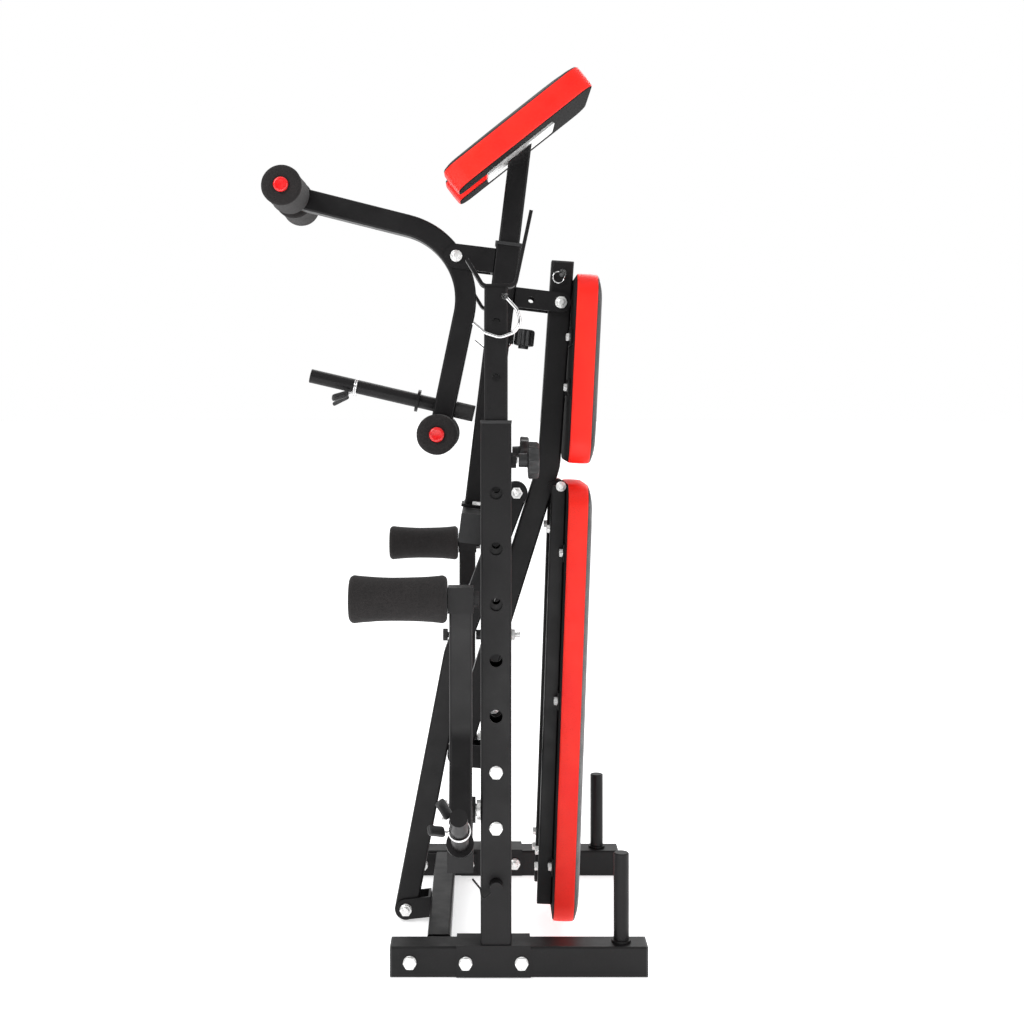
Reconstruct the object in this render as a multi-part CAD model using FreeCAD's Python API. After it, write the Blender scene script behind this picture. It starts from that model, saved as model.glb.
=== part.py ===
import FreeCAD, Part
import math
import os

from FreeCAD import Vector

# Folding weight bench, stored upright. Millimetres, +Z up, origin on the floor under the middle.
# In use the bench folds down towards -X. "left" is -Y, the left hand of a person seated on it.
os.makedirs("parts", exist_ok=True)

# ---------------------------------------------------------------- driving dimensions
SIDES = {"left": -1, "right": 1}
WALL = 2.0                      # steel tube wall
CORNER = 4.0                    # outer corner radius of the square tubes
PLATE = 4.0                     # bracket plate thickness
RUNNING = 0.05                  # radial clearance of a pivot
GAP = 0.4                       # clearance beside a moving tube

# rack
RAIL = 50.0                     # foot rail and upright tube
RAIL_Y = 255.0                  # both from the middle plane
RAIL_BACK, RAIL_FRONT = 323.0, -93.0
UPRIGHT_X = 78.0
UPRIGHT_TOP = 893.0
SKIN = 3.0                      # thickness of the saddle plates
SADDLE = 120.0                  # length of the saddle welded under the upright
HOLE_PITCH = 90.0
HOLE_R = 10.5                   # big adjusting holes
FIRST_HOLE_Z = 151.0
BOLTED = (1, 2)                 # holes taken by the crossbar bolts
CROSS_X = -16.0                 # front cross tube between the rails
CROSS = 38.0
CROSSBAR_Z = 286.0              # crossbar between the uprights
CROSSBAR_PLATE = 60.0           # half height of its end plates
PEG_R = 12.5                    # plate pegs, 25 mm
PROP_R = 10.0                   # rod that props the backrest
STORE_PEG_X, STORE_PEG_TOP = 282.0, 195.0

# posts and bar cradles
POST = 38.0
POST_LOW, POST_TOP = 560.0, 1113.0
COLLAR_RIM = 5.0
KNOB_Z = 833.0

# fold linkage pivots (x, z)
G1 = (-81.0, 22.0)              # link on the front cross tube
A1 = (117.0, 767.0)             # link on the column foot, the joint that stays open
B1 = (196.0, 1107.0)            # column on the main tube
G2 = (13.0, 298.0)              # main tube on the crossbar
BOLT_R = 6.0
TUBE = 40.0                     # main tube and link
MAIN_BEND = (175.6, 817.0)
MAIN_TOP = (200.2, 1179.5)
LINK_BEND = (6.0, 475.0)
FOLD_COLUMN_DEG = 88.4          # how far the column turns against the main tube
FLANGE_GAP = 61.0               # between the column's rear flanges
STORE_BOLT_Z = 510.0            # height of the storage bolt through link and main tube
LOCK_PIN = (199.2, 1160.0)

# column, leg lever and preacher pad
COLUMN = 45.0
CLAMP = (82.0, 1049.0)          # a point on the clamp knob's axis
COLUMN_FOOT, COLUMN_TOP = (46.5, 746.0), (103.0, 1210.0)
STABILISER_HALF = 192.0
LEVER = 38.0
LEVER_PIVOT = (9.0, 1191.0)
LEVER_CORNER = (49.5, 1215.0)
LEVER_BEND_R = 136.0
ROLLER_UP, ROLLER_LOW = (-288.0, 1300.0), (-22.0, 873.0)
FOAM_R, FOAM_IN, FOAM_OUT = 35.0, 21.0, 143.0
PEG_TIP, PEG_ROOT = (-254.0, 977.0), (43.0, 908.0)
PREACHER_LOW, PREACHER_HIGH = (-0.7, 1315.3), (234.7, 1501.7)
PREACHER_THICK, PREACHER_HALF = 49.0, 104.0
NOTCH_DEEP, NOTCH_HALF = 95.0, 28.0
BUMPER_R, BUMPER = 14.7, 37.0   # black bumper on the end of the lever peg

# seat and backrest
PAD_HALF = 130.0
SEAT_LOW, SEAT_HIGH = (203.5, 823.0), (219.5, 1153.0)
SEAT_THICK = 43.0
SEAT_STRIPS = (0.40, 0.67)      # brackets, as shares of the seat's length
BOARD = 10.0
BACK_LOW, BACK_HIGH = (177.0, 27.0), (204.0, 787.0)
BACK_STRAPS = (0.12, 0.5, 0.84)
BACK_THICK = 41.0
BACK_HINGE = (194.0, 781.0)
BACK_RAIL_Y, BACK_RAIL_W, BACK_RAIL_D = 60.0, 20.0, 26.0

# butterfly arms
FLYE_X, FLYE_Z = 24.0, 264.0
FLYE = 34.0
FLYE_END_Y, FLYE_RISE_Y = 522.0, 500.0
FLYE_BEND, FLYE_TOP = (440.0, 434.0), (465.0, 634.0)
FLYE_FOAM = (-141.0, 4.0)       # x range of the arm foam
FLYE_FOAM_R = 35.5
FLYE_PEG_ROOT, FLYE_PEG_TIP = (515.0, 283.0), (648.0, 361.0)


# ---------------------------------------------------------------- helpers
def export(name, shapes):
    """Write one node; a list of shapes becomes one group of separate solids."""
    shape = shapes if not isinstance(shapes, list) else Part.makeCompound(shapes)
    shape.exportStep("parts/" + name + ".step")


def at(point, y=0.0):
    """Point of the middle plane, given as (x, z), moved to y."""
    return Vector(point[0], y, point[1])


def unit(start, end):
    """Unit vector between two points of the middle plane."""
    return (at(end) - at(start)).normalize()


def box(x0, x1, y0, y1, z0, z1):
    low = Vector(min(x0, x1), min(y0, y1), min(z0, z1))
    return Part.makeBox(abs(x1 - x0), abs(y1 - y0), abs(z1 - z0), low)


def rod(start, end, radius):
    return Part.makeCylinder(radius, (end - start).Length, start, end - start)


def pin_y(point, y0, y1, radius):
    """Cylinder along Y through a point of the middle plane."""
    return rod(at(point, y0), at(point, y1), radius)


def hexagon(start, end, across):
    """Hexagonal prism from start to end, across its flats."""
    axis = (end - start)
    turn = FreeCAD.Rotation(Vector(0, 0, 1), axis)
    corner = across / math.sqrt(3)
    ring = [Vector(corner * math.cos(math.radians(60 * k)), corner * math.sin(math.radians(60 * k)), 0)
            for k in range(7)]
    face = Part.Face(Part.makePolygon(ring))
    face.Placement = FreeCAD.Placement(start, turn)
    return face.extrude(axis)


def bolt(start, end, radius, across):
    """Hex bolt from start to end: head beyond start and nut beyond end, both 7 mm thick."""
    along = (end - start).normalize()
    shape = rod(start - along, end + along, radius)
    shape = shape.fuse(hexagon(start - along * 7, start, across))
    shape = shape.fuse(hexagon(end, end + along * 7, across))
    return shape.removeSplitter()


def rounded_wire(centre, u, v, width, height, corner):
    """Closed wire of a rounded rectangle, width along u and height along v."""
    u, v = Vector(u).normalize(), Vector(v).normalize()
    w, h = width / 2, height / 2
    arcs = []
    for su, sv in ((1, 1), (-1, 1), (-1, -1), (1, -1)):
        hub = centre + u * (su * (w - corner)) + v * (sv * (h - corner))
        along_u, along_v = u * (su * corner), v * (sv * corner)
        middle = hub + (along_u + along_v) * (1 / math.sqrt(2))
        ends = (hub + along_u, hub + along_v) if su * sv > 0 else (hub + along_v, hub + along_u)
        arcs.append((ends[0], middle, ends[1]))
    edges = []
    for arc, following in zip(arcs, arcs[1:] + arcs[:1]):
        edges.append(Part.Arc(*arc).toShape())
        edges.append(Part.LineSegment(arc[2], following[0]).toShape())
    return Part.Wire(edges)


def rounded_bar(start, end, across, width, height, corner):
    """Straight bar from start to end; width along `across`, height square to it."""
    axis = end - start
    face = Part.Face(rounded_wire(start, across, axis.cross(across), width, height, corner))
    return face.extrude(axis)


def tube(start, end, across=Vector(0, 1, 0), size=TUBE, wall=WALL, corner=CORNER):
    """Hollow straight square tube, open at both ends."""
    outer = rounded_bar(start, end, across, size, size, corner)
    inner = rounded_bar(start, end, across, size - 2 * wall, size - 2 * wall, max(corner - wall, 0.8))
    return outer.cut(inner)


def bent_path(points, radius):
    """Wire of straight runs joined by tangent arcs."""
    edges = []
    last = points[0]
    for before, corner, after in zip(points, points[1:], points[2:]):
        back = (before - corner).normalize()
        onward = (after - corner).normalize()
        half = back.getAngle(onward) / 2
        cut = radius / math.tan(half)
        start, end = corner + back * cut, corner + onward * cut
        middle = corner + (back + onward).normalize() * (radius / math.sin(half) - radius)
        edges.append(Part.LineSegment(last, start).toShape())
        edges.append(Part.Arc(start, middle, end).toShape())
        last = end
    edges.append(Part.LineSegment(last, points[-1]).toShape())
    return Part.Wire(edges)


def bent_bar(points, radius, across, width, height, corner):
    """Solid bar of rounded rectangular section along a bent path."""
    first = points[1] - points[0]
    section = rounded_wire(points[0], across, first.cross(across), width, height, corner)
    return bent_path(points, radius).makePipeShell([section], True, False)


def bent_tube(points, radius, across=Vector(0, 1, 0), size=TUBE, wall=WALL, corner=CORNER):
    outer = bent_bar(points, radius, across, size, size, corner)
    inner = bent_bar(points, radius, across, size - 2 * wall, size - 2 * wall, corner - wall)
    return outer.cut(inner)


def wire_rod(points, radius, bend):
    """Round wire along a bent path."""
    path = bent_path(points, bend)
    section = Part.Wire([Part.makeCircle(radius, points[0], points[1] - points[0])])
    return path.makePipeShell([section], True, False)


def side_plate(outline, y0, y1):
    """Flat plate in the XZ plane from y0 to y1; outline is a list of (x, z)."""
    ring = [at(point, y0) for point in outline]
    return Part.Face(Part.makePolygon(ring + ring[:1])).extrude(Vector(0, y1 - y0, 0))


def strap(start, end, half, y0, y1):
    """Plate of width 2*half between two points of the middle plane, round at its end."""
    along = unit(start, end)
    side = Vector(0, 1, 0).cross(along) * half
    corners = [at(start) + side, at(end) + side, at(end) - side, at(start) - side]
    plate = side_plate([(c.x, c.z) for c in corners], y0, y1)
    return plate.fuse(pin_y(end, y0, y1, half)).removeSplitter()


def clevis(start, end, half, inner, plate=PLATE):
    """Two straps, inner wide between them, closed at their start by a web."""
    along = unit(start, end)
    side = Vector(0, 1, 0).cross(along) * half
    outer = inner / 2 + plate
    web_end = at(start) + along * plate
    corners = [at(start) + side, web_end + side, web_end - side, at(start) - side]
    shape = side_plate([(c.x, c.z) for c in corners], -outer, outer)
    for y in (-1, 1):
        shape = shape.fuse(strap(start, end, half, y * inner / 2, y * outer))
    return shape.removeSplitter()


def along_column(distance, offset=0.0):
    """Point (x, z) at a distance up the column's centre line, offset to its rear."""
    up = unit(COLUMN_FOOT, COLUMN_TOP)
    rear = Vector(0, 1, 0).cross(up)
    point = at(COLUMN_FOOT) + up * distance + rear * offset
    return point.x, point.z


def foot_on_column(point):
    """How far up the column's centre line a point lies."""
    return (at(point) - at(COLUMN_FOOT)).dot(unit(COLUMN_FOOT, COLUMN_TOP))


def lying_box(low, high, depth0, depth1, half, corner, trim0=0.0, trim1=0.0):
    """Pad-like block along the line low-high, between two depths in front (+X side) of it."""
    along = unit(low, high)
    front = Vector(0, 1, 0).cross(along)
    start = at(low) + along * trim0 + front * depth0
    end = at(high) - along * trim1 + front * depth0
    length = (end - start).Length
    middle = start + along * (length / 2)
    face = Part.Face(rounded_wire(middle, along, Vector(0, 1, 0), length, 2 * half, corner))
    return face.extrude(front * (depth1 - depth0))


def soften(shape, radius, direction, ends):
    """Round the rim edges of a pad that lie at the given levels along direction."""
    picked = []
    for edge in shape.Edges:
        levels = [vertex.Point.dot(direction) for vertex in edge.Vertexes]
        if max(levels) - min(levels) < 0.01 and any(abs(levels[0] - end) < 0.01 for end in ends):
            picked.append(edge)
    return shape.makeFillet(radius, picked)


# ---------------------------------------------------------------- rack
def adjusting_holes():
    return [FIRST_HOLE_Z + HOLE_PITCH * k for k in range(8)]


def bolt_stations():
    """X of the three bolts of a foot rail: one beside the cross tube, two in the saddle."""
    middle = UPRIGHT_X - 4
    return [middle - 1.5 * HOLE_PITCH, middle - 0.5 * HOLE_PITCH, middle + 0.5 * HOLE_PITCH]


def foot_rail(side):
    y = side * RAIL_Y
    rail = tube(Vector(RAIL_FRONT + 3, y, RAIL / 2), Vector(RAIL_BACK - 3, y, RAIL / 2), size=RAIL)
    for x in bolt_stations():
        rail = rail.cut(pin_y((x, RAIL / 2), y - 40, y + 40, BOLT_R))
    return rail


def foot_caps():
    caps = []
    for side in SIDES.values():
        for x, out in ((RAIL_FRONT, 1), (RAIL_BACK, -1)):
            y = side * RAIL_Y
            face = rounded_bar(Vector(x, y, RAIL / 2), Vector(x + 3 * out, y, RAIL / 2),
                               Vector(0, 1, 0), RAIL, RAIL, CORNER)
            plug = rounded_bar(Vector(x + 3 * out, y, RAIL / 2), Vector(x + 20 * out, y, RAIL / 2),
                               Vector(0, 1, 0), RAIL - 2 * WALL, RAIL - 2 * WALL, CORNER - WALL)
            caps.append(face.fuse(plug))
    return caps


def upright(side):
    """Outer tube on a saddle that straddles the foot rail, with a nut boss for the knob."""
    y = side * RAIL_Y
    x0, x1 = UPRIGHT_X - 4 - SADDLE / 2, UPRIGHT_X - 4 + SADDLE / 2
    outer = box(x0, x1, y - RAIL / 2 - SKIN, y + RAIL / 2 + SKIN, 1.5, RAIL + SKIN)
    saddle = outer.cut(box(x0 - 1, x1 + 1, y - RAIL / 2, y + RAIL / 2, 0, RAIL))
    for x in bolt_stations()[1:]:
        saddle = saddle.cut(pin_y((x, RAIL / 2), y - 40, y + 40, BOLT_R))
    shell = tube(Vector(UPRIGHT_X, y, RAIL + SKIN), Vector(UPRIGHT_X, y, UPRIGHT_TOP), size=RAIL)
    for number, z in enumerate(adjusting_holes()):
        radius = BOLT_R if number in BOLTED else HOLE_R
        shell = shell.cut(pin_y((UPRIGHT_X, z), y - 40, y + 40, radius))
    rear = UPRIGHT_X + RAIL / 2
    boss = hexagon(Vector(rear, y, KNOB_Z), Vector(rear + 8, y, KNOB_Z), 22)
    hole = rod(Vector(UPRIGHT_X, y, KNOB_Z), Vector(rear + 20, y, KNOB_Z), 5 + RUNNING)
    return saddle.fuse(shell).fuse(boss).cut(hole).removeSplitter()


def square_collar(start, end, rim, outer, inside, bore):
    """Plastic bushing: a plug between start and end inside a tube, with a rim on top."""
    up = (end - start).normalize()
    plug = rounded_bar(start, end, Vector(0, 1, 0), inside, inside, 2.0)
    lip = rounded_bar(end, end + up * rim, Vector(0, 1, 0), outer, outer, CORNER)
    hole = rounded_bar(start - up, end + up * (rim + 1), Vector(0, 1, 0), bore, bore, CORNER)
    return plug.fuse(lip).cut(hole)


def upright_collars():
    collars = []
    for side in SIDES.values():
        low = Vector(UPRIGHT_X, side * RAIL_Y, UPRIGHT_TOP - 26)
        high = Vector(UPRIGHT_X, side * RAIL_Y, UPRIGHT_TOP)
        collars.append(square_collar(low, high, COLLAR_RIM, RAIL + 1, RAIL - 2 * WALL, POST + 0.6))
    return collars


def front_cross_tube():
    """Cross tube with bolted end plates and the clevis that carries the link."""
    inner = RAIL_Y - RAIL / 2
    z = RAIL - CROSS / 2
    shape = tube(Vector(CROSS_X, -inner + 3 + PLATE, z), Vector(CROSS_X, inner - 3 - PLATE, z),
                 Vector(1, 0, 0), CROSS)
    for side in SIDES.values():
        plate = box(CROSS_X - 60, CROSS_X + 60, side * (inner - 3 - PLATE), side * (inner - 3), 6, 46)
        saddle_edge = UPRIGHT_X - 4 - SADDLE / 2 - 0.5
        shim = box(CROSS_X - 60, saddle_edge, side * (inner - 3), side * inner, 6, 46)
        plate = plate.fuse(shim)
        for x in bolt_stations()[:2]:
            plate = plate.cut(pin_y((x, RAIL / 2), side * 220, side * 240, BOLT_R))
        shape = shape.fuse(plate)
    start = (CROSS_X - CROSS / 2, G1[1] + 5)
    shape = shape.fuse(clevis(start, G1, 18, TUBE + 2 * GAP))
    return shape.cut(pin_y(G1, -40, 40, BOLT_R)).removeSplitter()


def lower_crossbar():
    """Crossbar with bolted end plates and the clevis of the main tube."""
    inner = RAIL_Y - RAIL / 2
    reach = inner - PLATE
    shape = tube(Vector(UPRIGHT_X, -reach, CROSSBAR_Z), Vector(UPRIGHT_X, reach, CROSSBAR_Z),
                 Vector(1, 0, 0), TUBE)
    for side in SIDES.values():
        plate = box(UPRIGHT_X - TUBE / 2, UPRIGHT_X + TUBE / 2, side * reach, side * inner,
                    CROSSBAR_Z - CROSSBAR_PLATE, CROSSBAR_Z + CROSSBAR_PLATE)
        for number in BOLTED:
            spot = (UPRIGHT_X, adjusting_holes()[number])
            plate = plate.cut(pin_y(spot, side * (reach - 1), side * (inner + 1), BOLT_R))
        shape = shape.fuse(plate)
    start = (UPRIGHT_X - TUBE / 2, G2[1] - 4)
    shape = shape.fuse(clevis(start, G2, 20, TUBE + 2 * GAP))
    return shape.cut(pin_y(G2, -40, 40, BOLT_R)).removeSplitter()


def foot_bolts():
    """Hex bolts through rails, saddles and cross tube end plates."""
    bolts = []
    half = RAIL / 2
    for side in SIDES.values():
        for number, x in enumerate(bolt_stations()):
            out = RAIL_Y + half + (3 if number else 0)
            inside = RAIL_Y - half - (3 if number == 2 else 3 + PLATE)
            bolts.append(bolt(at((x, half), side * out), at((x, half), side * inside), BOLT_R, 19))
    return bolts


def crossbar_bolts():
    """Hex bolts through the uprights and the crossbar's end plates."""
    bolts = []
    for side in SIDES.values():
        for number in BOLTED:
            spot = (UPRIGHT_X, adjusting_holes()[number])
            outside = at(spot, side * (RAIL_Y + RAIL / 2))
            inside = at(spot, side * (RAIL_Y - RAIL / 2 - PLATE))
            bolts.append(bolt(outside, inside, BOLT_R, 19))
    return bolts


def plate_peg(side):
    """Storage peg for weight plates, standing on a foot rail."""
    y = side * RAIL_Y
    base = Vector(STORE_PEG_X, y, RAIL)
    up = Vector(0, 0, 1)
    peg = rod(base, base + up * (STORE_PEG_TOP - RAIL), PEG_R)
    peg = peg.makeChamfer(1.5, [edge for edge in peg.Edges if edge.BoundBox.ZMin > STORE_PEG_TOP - 1])
    return peg.fuse(rod(base, base + up * 4, PEG_R + 3.5)).removeSplitter()


def rack_pivot_bolts():
    reach = TUBE / 2 + GAP + PLATE
    return [bolt(at(G1, -reach), at(G1, reach), BOLT_R - RUNNING, 19),
            bolt(at(G2, -reach), at(G2, reach), BOLT_R - RUNNING, 19)]


def flye_shafts():
    """Stub shafts on the front faces of the uprights, with a retaining head each."""
    shafts = []
    face = UPRIGHT_X - RAIL / 2
    for side in SIDES.values():
        start = Vector(face, side * RAIL_Y, FLYE_Z)
        tip = Vector(-10, side * RAIL_Y, FLYE_Z)
        shaft = rod(start, tip, 10)
        shaft = shaft.fuse(rod(start, start - Vector(6, 0, 0), 16))
        shaft = shaft.fuse(hexagon(tip, tip + Vector(9, 0, 0), 28))
        shafts.append(shaft.removeSplitter())
    return shafts


# ---------------------------------------------------------------- posts
def post(side):
    """Sliding inner post with its row of holes."""
    y = side * RAIL_Y
    shape = tube(Vector(UPRIGHT_X, y, POST_LOW), Vector(UPRIGHT_X, y, POST_TOP), size=POST)
    for k in range(6):
        shape = shape.cut(pin_y((UPRIGHT_X, 967 - HOLE_PITCH * k + 90), y - 30, y + 30, 6.5))
    return shape


def cradle(side):
    """J-shaped bar cradle bent from flat bar and welded on the post top."""
    y = side * RAIL_Y
    thick = 6.0
    z = POST_TOP + thick / 2
    points = [(31, 1159), (57, z), (109, z), (135, 1238)]
    bar = bent_bar([at(point, y) for point in points], 12, Vector(0, 1, 0), 34, thick, 1.2)
    inside = POST / 2 - WALL - 0.8
    cap = box(UPRIGHT_X - inside, UPRIGHT_X + inside, y - inside, y + inside, POST_TOP - 6, POST_TOP)
    return bar.fuse(cap).removeSplitter()


def hook_pivot():
    return 92.0, 1098.0


def safety_hook(side):
    """Wire hook that pivots on the post, clear of the upright, and swings over the bar."""
    y = side * (RAIL_Y + RAIL / 2 + 3.6)
    x, z = hook_pivot()
    points = [(x, z), (112, 1076), (118, 1056), (108, 1040), (84, 1031), (60, 1039), (41, 1055)]
    wire = wire_rod([at(point, y) for point in points], 2.6, 20)
    eye = rod(at((x, z), side * (RAIL_Y + POST / 2 + 0.3)), at((x, z), y + side * 2.6), 5.5)
    return wire.fuse(eye).removeSplitter()


def height_knob(side):
    """Star knob whose screw clamps the post."""
    y = side * RAIL_Y
    rear = UPRIGHT_X + RAIL / 2
    spot = Vector(0, y, KNOB_Z)
    ahead = Vector(1, 0, 0)
    screw = rod(spot + ahead * (UPRIGHT_X + POST / 2 + 0.5), spot + ahead * (rear + 27), 5)
    hub = rod(spot + ahead * (rear + 12), spot + ahead * (rear + 27), 11)
    wheel = rod(spot + ahead * (rear + 27), spot + ahead * (rear + 45), 24)
    for k in range(8):
        turn = math.radians(45 * k)
        lobe = Vector(0, 24 * math.cos(turn), 24 * math.sin(turn))
        wheel = wheel.fuse(rod(spot + lobe + ahead * (rear + 27), spot + lobe + ahead * (rear + 45), 6.5))
    return screw.fuse(hub).fuse(wheel).removeSplitter()


def support_rod():
    """Rod through both uprights that props the backrest, with its wire clip on the left."""
    end = RAIL_Y + RAIL / 2 + 22
    spot = (UPRIGHT_X, FIRST_HOLE_Z - HOLE_R + PROP_R + 0.3)
    shape = pin_y(spot, -end, end, PROP_R)
    start = at(spot, -end + 6)
    points = [start, start + Vector(-22, 0, -20), start + Vector(-25, 0, -2), start + Vector(-38, 0, 14)]
    clip = wire_rod(points, 1.6, 4)
    return shape.fuse(clip).removeSplitter()


# ---------------------------------------------------------------- main frame
def main_tube():
    """Bent main tube with seat brackets, hinge lugs and pivot holes."""
    start = at(G2) + unit(G2, MAIN_BEND) * 8
    shape = bent_tube([start, at(MAIN_BEND), at(MAIN_TOP)], 60)
    heel = pin_y(G2, -TUBE / 2, TUBE / 2, TUBE / 2 - 2)
    hollow = rounded_bar(at(G2), at(MAIN_BEND), Vector(0, 1, 0), TUBE - 2 * WALL, TUBE - 2 * WALL, 2)
    shape = shape.fuse(heel.cut(hollow))
    for y in (-1, 1):
        lug = strap((176, 776), BACK_HINGE, 9.4, y * TUBE / 2, y * (TUBE / 2 + PLATE))
        shape = shape.fuse(lug)
    low, high = at(SEAT_LOW), at(SEAT_HIGH)
    for share in SEAT_STRIPS:
        spot = low + (high - low) * share
        strip = box(spot.x - 4.4, spot.x - 0.9, -90, 90, spot.z - 14, spot.z + 14)
        block = box(spot.x - 10, spot.x - 0.9, -19, 19, spot.z - 14, spot.z + 14)
        shape = shape.fuse(strip).fuse(block)
    shape = shape.cut(pin_y(B1, -40, 40, BOLT_R))
    shape = shape.cut(pin_y(G2, -40, 40, BOLT_R))
    shape = shape.cut(pin_y(BACK_HINGE, -90, 90, 5))
    return shape.cut(pin_y(LOCK_PIN, -40, 40, 4 + RUNNING)).removeSplitter()


def main_tube_cap():
    up = unit(MAIN_BEND, MAIN_TOP)
    lid = rounded_bar(at(MAIN_TOP), at(MAIN_TOP) + up * 3, Vector(0, 1, 0), TUBE, TUBE, CORNER)
    plug = rounded_bar(at(MAIN_TOP) - up * 12, at(MAIN_TOP), Vector(0, 1, 0),
                       TUBE - 2 * WALL, TUBE - 2 * WALL, 2)
    return lid.fuse(plug)


def column_spacers():
    """Nylon spacers each side of the main tube at the column pivot."""
    half = FLANGE_GAP / 2
    rings = []
    for y in (-1, 1):
        ring = pin_y(B1, y * TUBE / 2, y * (half - 0.3), 12)
        rings.append(ring.cut(pin_y(B1, -60, 60, BOLT_R)))
    return rings


def main_frame_bolts():
    """Pivot bolts of column and backrest, and the nut of the storage bolt."""
    flange = FLANGE_GAP / 2 + PLATE
    column = bolt(at(B1, -flange - 0.3), at(B1, flange + 0.3), BOLT_R - RUNNING, 19)
    reach = BACK_RAIL_Y + BACK_RAIL_W / 2 + 0.3
    hinge = bolt(at(BACK_HINGE, -reach), at(BACK_HINGE, reach), 5 - RUNNING, 16)
    x = main_face_x(STORE_BOLT_Z, 1)
    nut = hexagon(Vector(x + 4, 0, STORE_BOLT_Z), Vector(x + 14, 0, STORE_BOLT_Z), 19)
    tip = rod(Vector(x + 2, 0, STORE_BOLT_Z), Vector(x + 24, 0, STORE_BOLT_Z), 5)
    return [column, hinge, nut.fuse(tip).removeSplitter()] + seat_bolts()


def main_face_x(z, side):
    """X of the main tube's left (-1) or right (1) face on its lower slope."""
    slope = (MAIN_BEND[0] - G2[0]) / (MAIN_BEND[1] - G2[1])
    return G2[0] + slope * (z - G2[1]) + side * TUBE / 2 * math.hypot(1, slope)


def lock_pin():
    """Pin through the main tube's top with a pull ring."""
    x, z = LOCK_PIN
    shape = pin_y(LOCK_PIN, -25, 27, 4)
    shape = shape.fuse(pin_y(LOCK_PIN, -27, -21, 7))
    ring = Part.makeTorus(10.2, 1.2, Vector(x - 7, -25.5, z - 7.4), Vector(0, 1, 0))
    return shape.fuse(ring).removeSplitter()


def pad_solid(low, high, board, thick, half, corner, trim, round_r):
    """Upholstery block in front of its board, with a softened front rim."""
    along = unit(low, high)
    front = Vector(0, 1, 0).cross(along)
    shape = lying_box(low, high, board, thick, half, corner, trim, trim)
    return soften(shape, round_r, front, [at(low).dot(front) + thick])


def seat_bolts():
    """Coach bolts that hold the seat board on its brackets."""
    low, high = at(SEAT_LOW), at(SEAT_HIGH)
    front = Vector(0, 1, 0).cross(unit(SEAT_LOW, SEAT_HIGH))
    heads = []
    for share in SEAT_STRIPS:
        for y in (-45, 45):
            spot = low + (high - low) * share + Vector(0, y, 0)
            heads.append(hexagon(spot - front * 10, spot - front * 4.7, 13))
    return heads


# ---------------------------------------------------------------- backrest
def backrest_frame():
    """Two rails with cross straps; the rails hinge on the main tube."""
    along = unit(BACK_LOW, BACK_HIGH)
    front = Vector(0, 1, 0).cross(along)
    shape = None
    for y in (-BACK_RAIL_Y, BACK_RAIL_Y):
        start = at(BACK_LOW, y) + along * 20 - front * (BACK_RAIL_D / 2 + 0.2)
        end = at(BACK_HIGH, y) - along * 5 - front * (BACK_RAIL_D / 2 + 0.2)
        outer = rounded_bar(start, end, Vector(0, 1, 0), BACK_RAIL_W, BACK_RAIL_D, 3)
        inner = rounded_bar(start + along * 2, end - along * 2, Vector(0, 1, 0),
                            BACK_RAIL_W - 3, BACK_RAIL_D - 3, 1.6)
        rail = outer.cut(inner)
        shape = rail if shape is None else shape.fuse(rail)
    for share in BACK_STRAPS:
        spot = at(BACK_LOW) + (at(BACK_HIGH) - at(BACK_LOW)) * share
        strap_bar = rounded_bar(spot - along * 15, spot + along * 15, Vector(0, 1, 0), 190, 3.2, 0.8)
        strap_bar.translate(front * -1.8)
        shape = shape.fuse(strap_bar)
    return shape.cut(pin_y(BACK_HINGE, -90, 90, 5)).removeSplitter()


def backrest_bolts():
    """Board bolts on the cross straps and the bolts on the rear faces of the rails."""
    low, high = at(BACK_LOW), at(BACK_HIGH)
    along = unit(BACK_LOW, BACK_HIGH)
    front = Vector(0, 1, 0).cross(along)
    heads = []
    for share in BACK_STRAPS:
        for y in (-85, 85):
            spot = low + (high - low) * share + Vector(0, y, 0)
            heads.append(hexagon(spot - front * 9.5, spot - front * 3.6, 13))
    for distance in (83, 111, 678):
        for side in SIDES.values():
            face = low + along * distance - front * (BACK_RAIL_D + 0.2) + Vector(0, side * BACK_RAIL_Y, 0)
            heads.append(hexagon(face - front * 6, face, 13))
    return heads


# ---------------------------------------------------------------- column
def column_tube():
    """Column with rear flanges, lever bracket, link lugs and the stabiliser saddle."""
    shape = tube(at(COLUMN_FOOT), at(COLUMN_TOP), size=COLUMN)
    half = COLUMN / 2
    shape = shape.fuse(clevis(along_column(foot_on_column(B1), half), B1, 17.5, FLANGE_GAP))
    start = along_column(foot_on_column(LEVER_PIVOT), -half)
    shape = shape.fuse(clevis(start, LEVER_PIVOT, 22, LEVER + 2 * GAP))
    shape = shape.fuse(clevis(along_column(foot_on_column(A1), half), A1, 17, TUBE + 2 * GAP))
    up = unit(COLUMN_FOOT, COLUMN_TOP)
    base = rounded_bar(at(COLUMN_FOOT) - up * 5, at(COLUMN_FOOT), Vector(0, 1, 0), 90, 56, 3)
    shape = shape.fuse(base)
    height = foot_on_column(CLAMP)
    knob = rod(at(along_column(height, 0)), at(along_column(height, half + 30)), 5 + RUNNING)
    boss = hexagon(at(along_column(height, half)), at(along_column(height, half + 7)), 20)
    shape = shape.fuse(boss).cut(knob)
    shape = shape.cut(pin_y(B1, -60, 60, BOLT_R))
    shape = shape.cut(pin_y(LEVER_PIVOT, -60, 60, BOLT_R))
    shape = shape.cut(pin_y(A1, -60, 60, BOLT_R))
    return shape.cut(pin_y(lock_hole(), -60, 60, 5.5)).removeSplitter()


def lock_hole():
    """Where the flange hole lies when stored, so that it meets the lock pin when unfolded."""
    pin = at(LOCK_PIN) - at(B1)
    turn = FreeCAD.Rotation(Vector(0, -1, 0), FOLD_COLUMN_DEG)
    spot = at(B1) + turn.multVec(pin)
    return spot.x, spot.z


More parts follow.
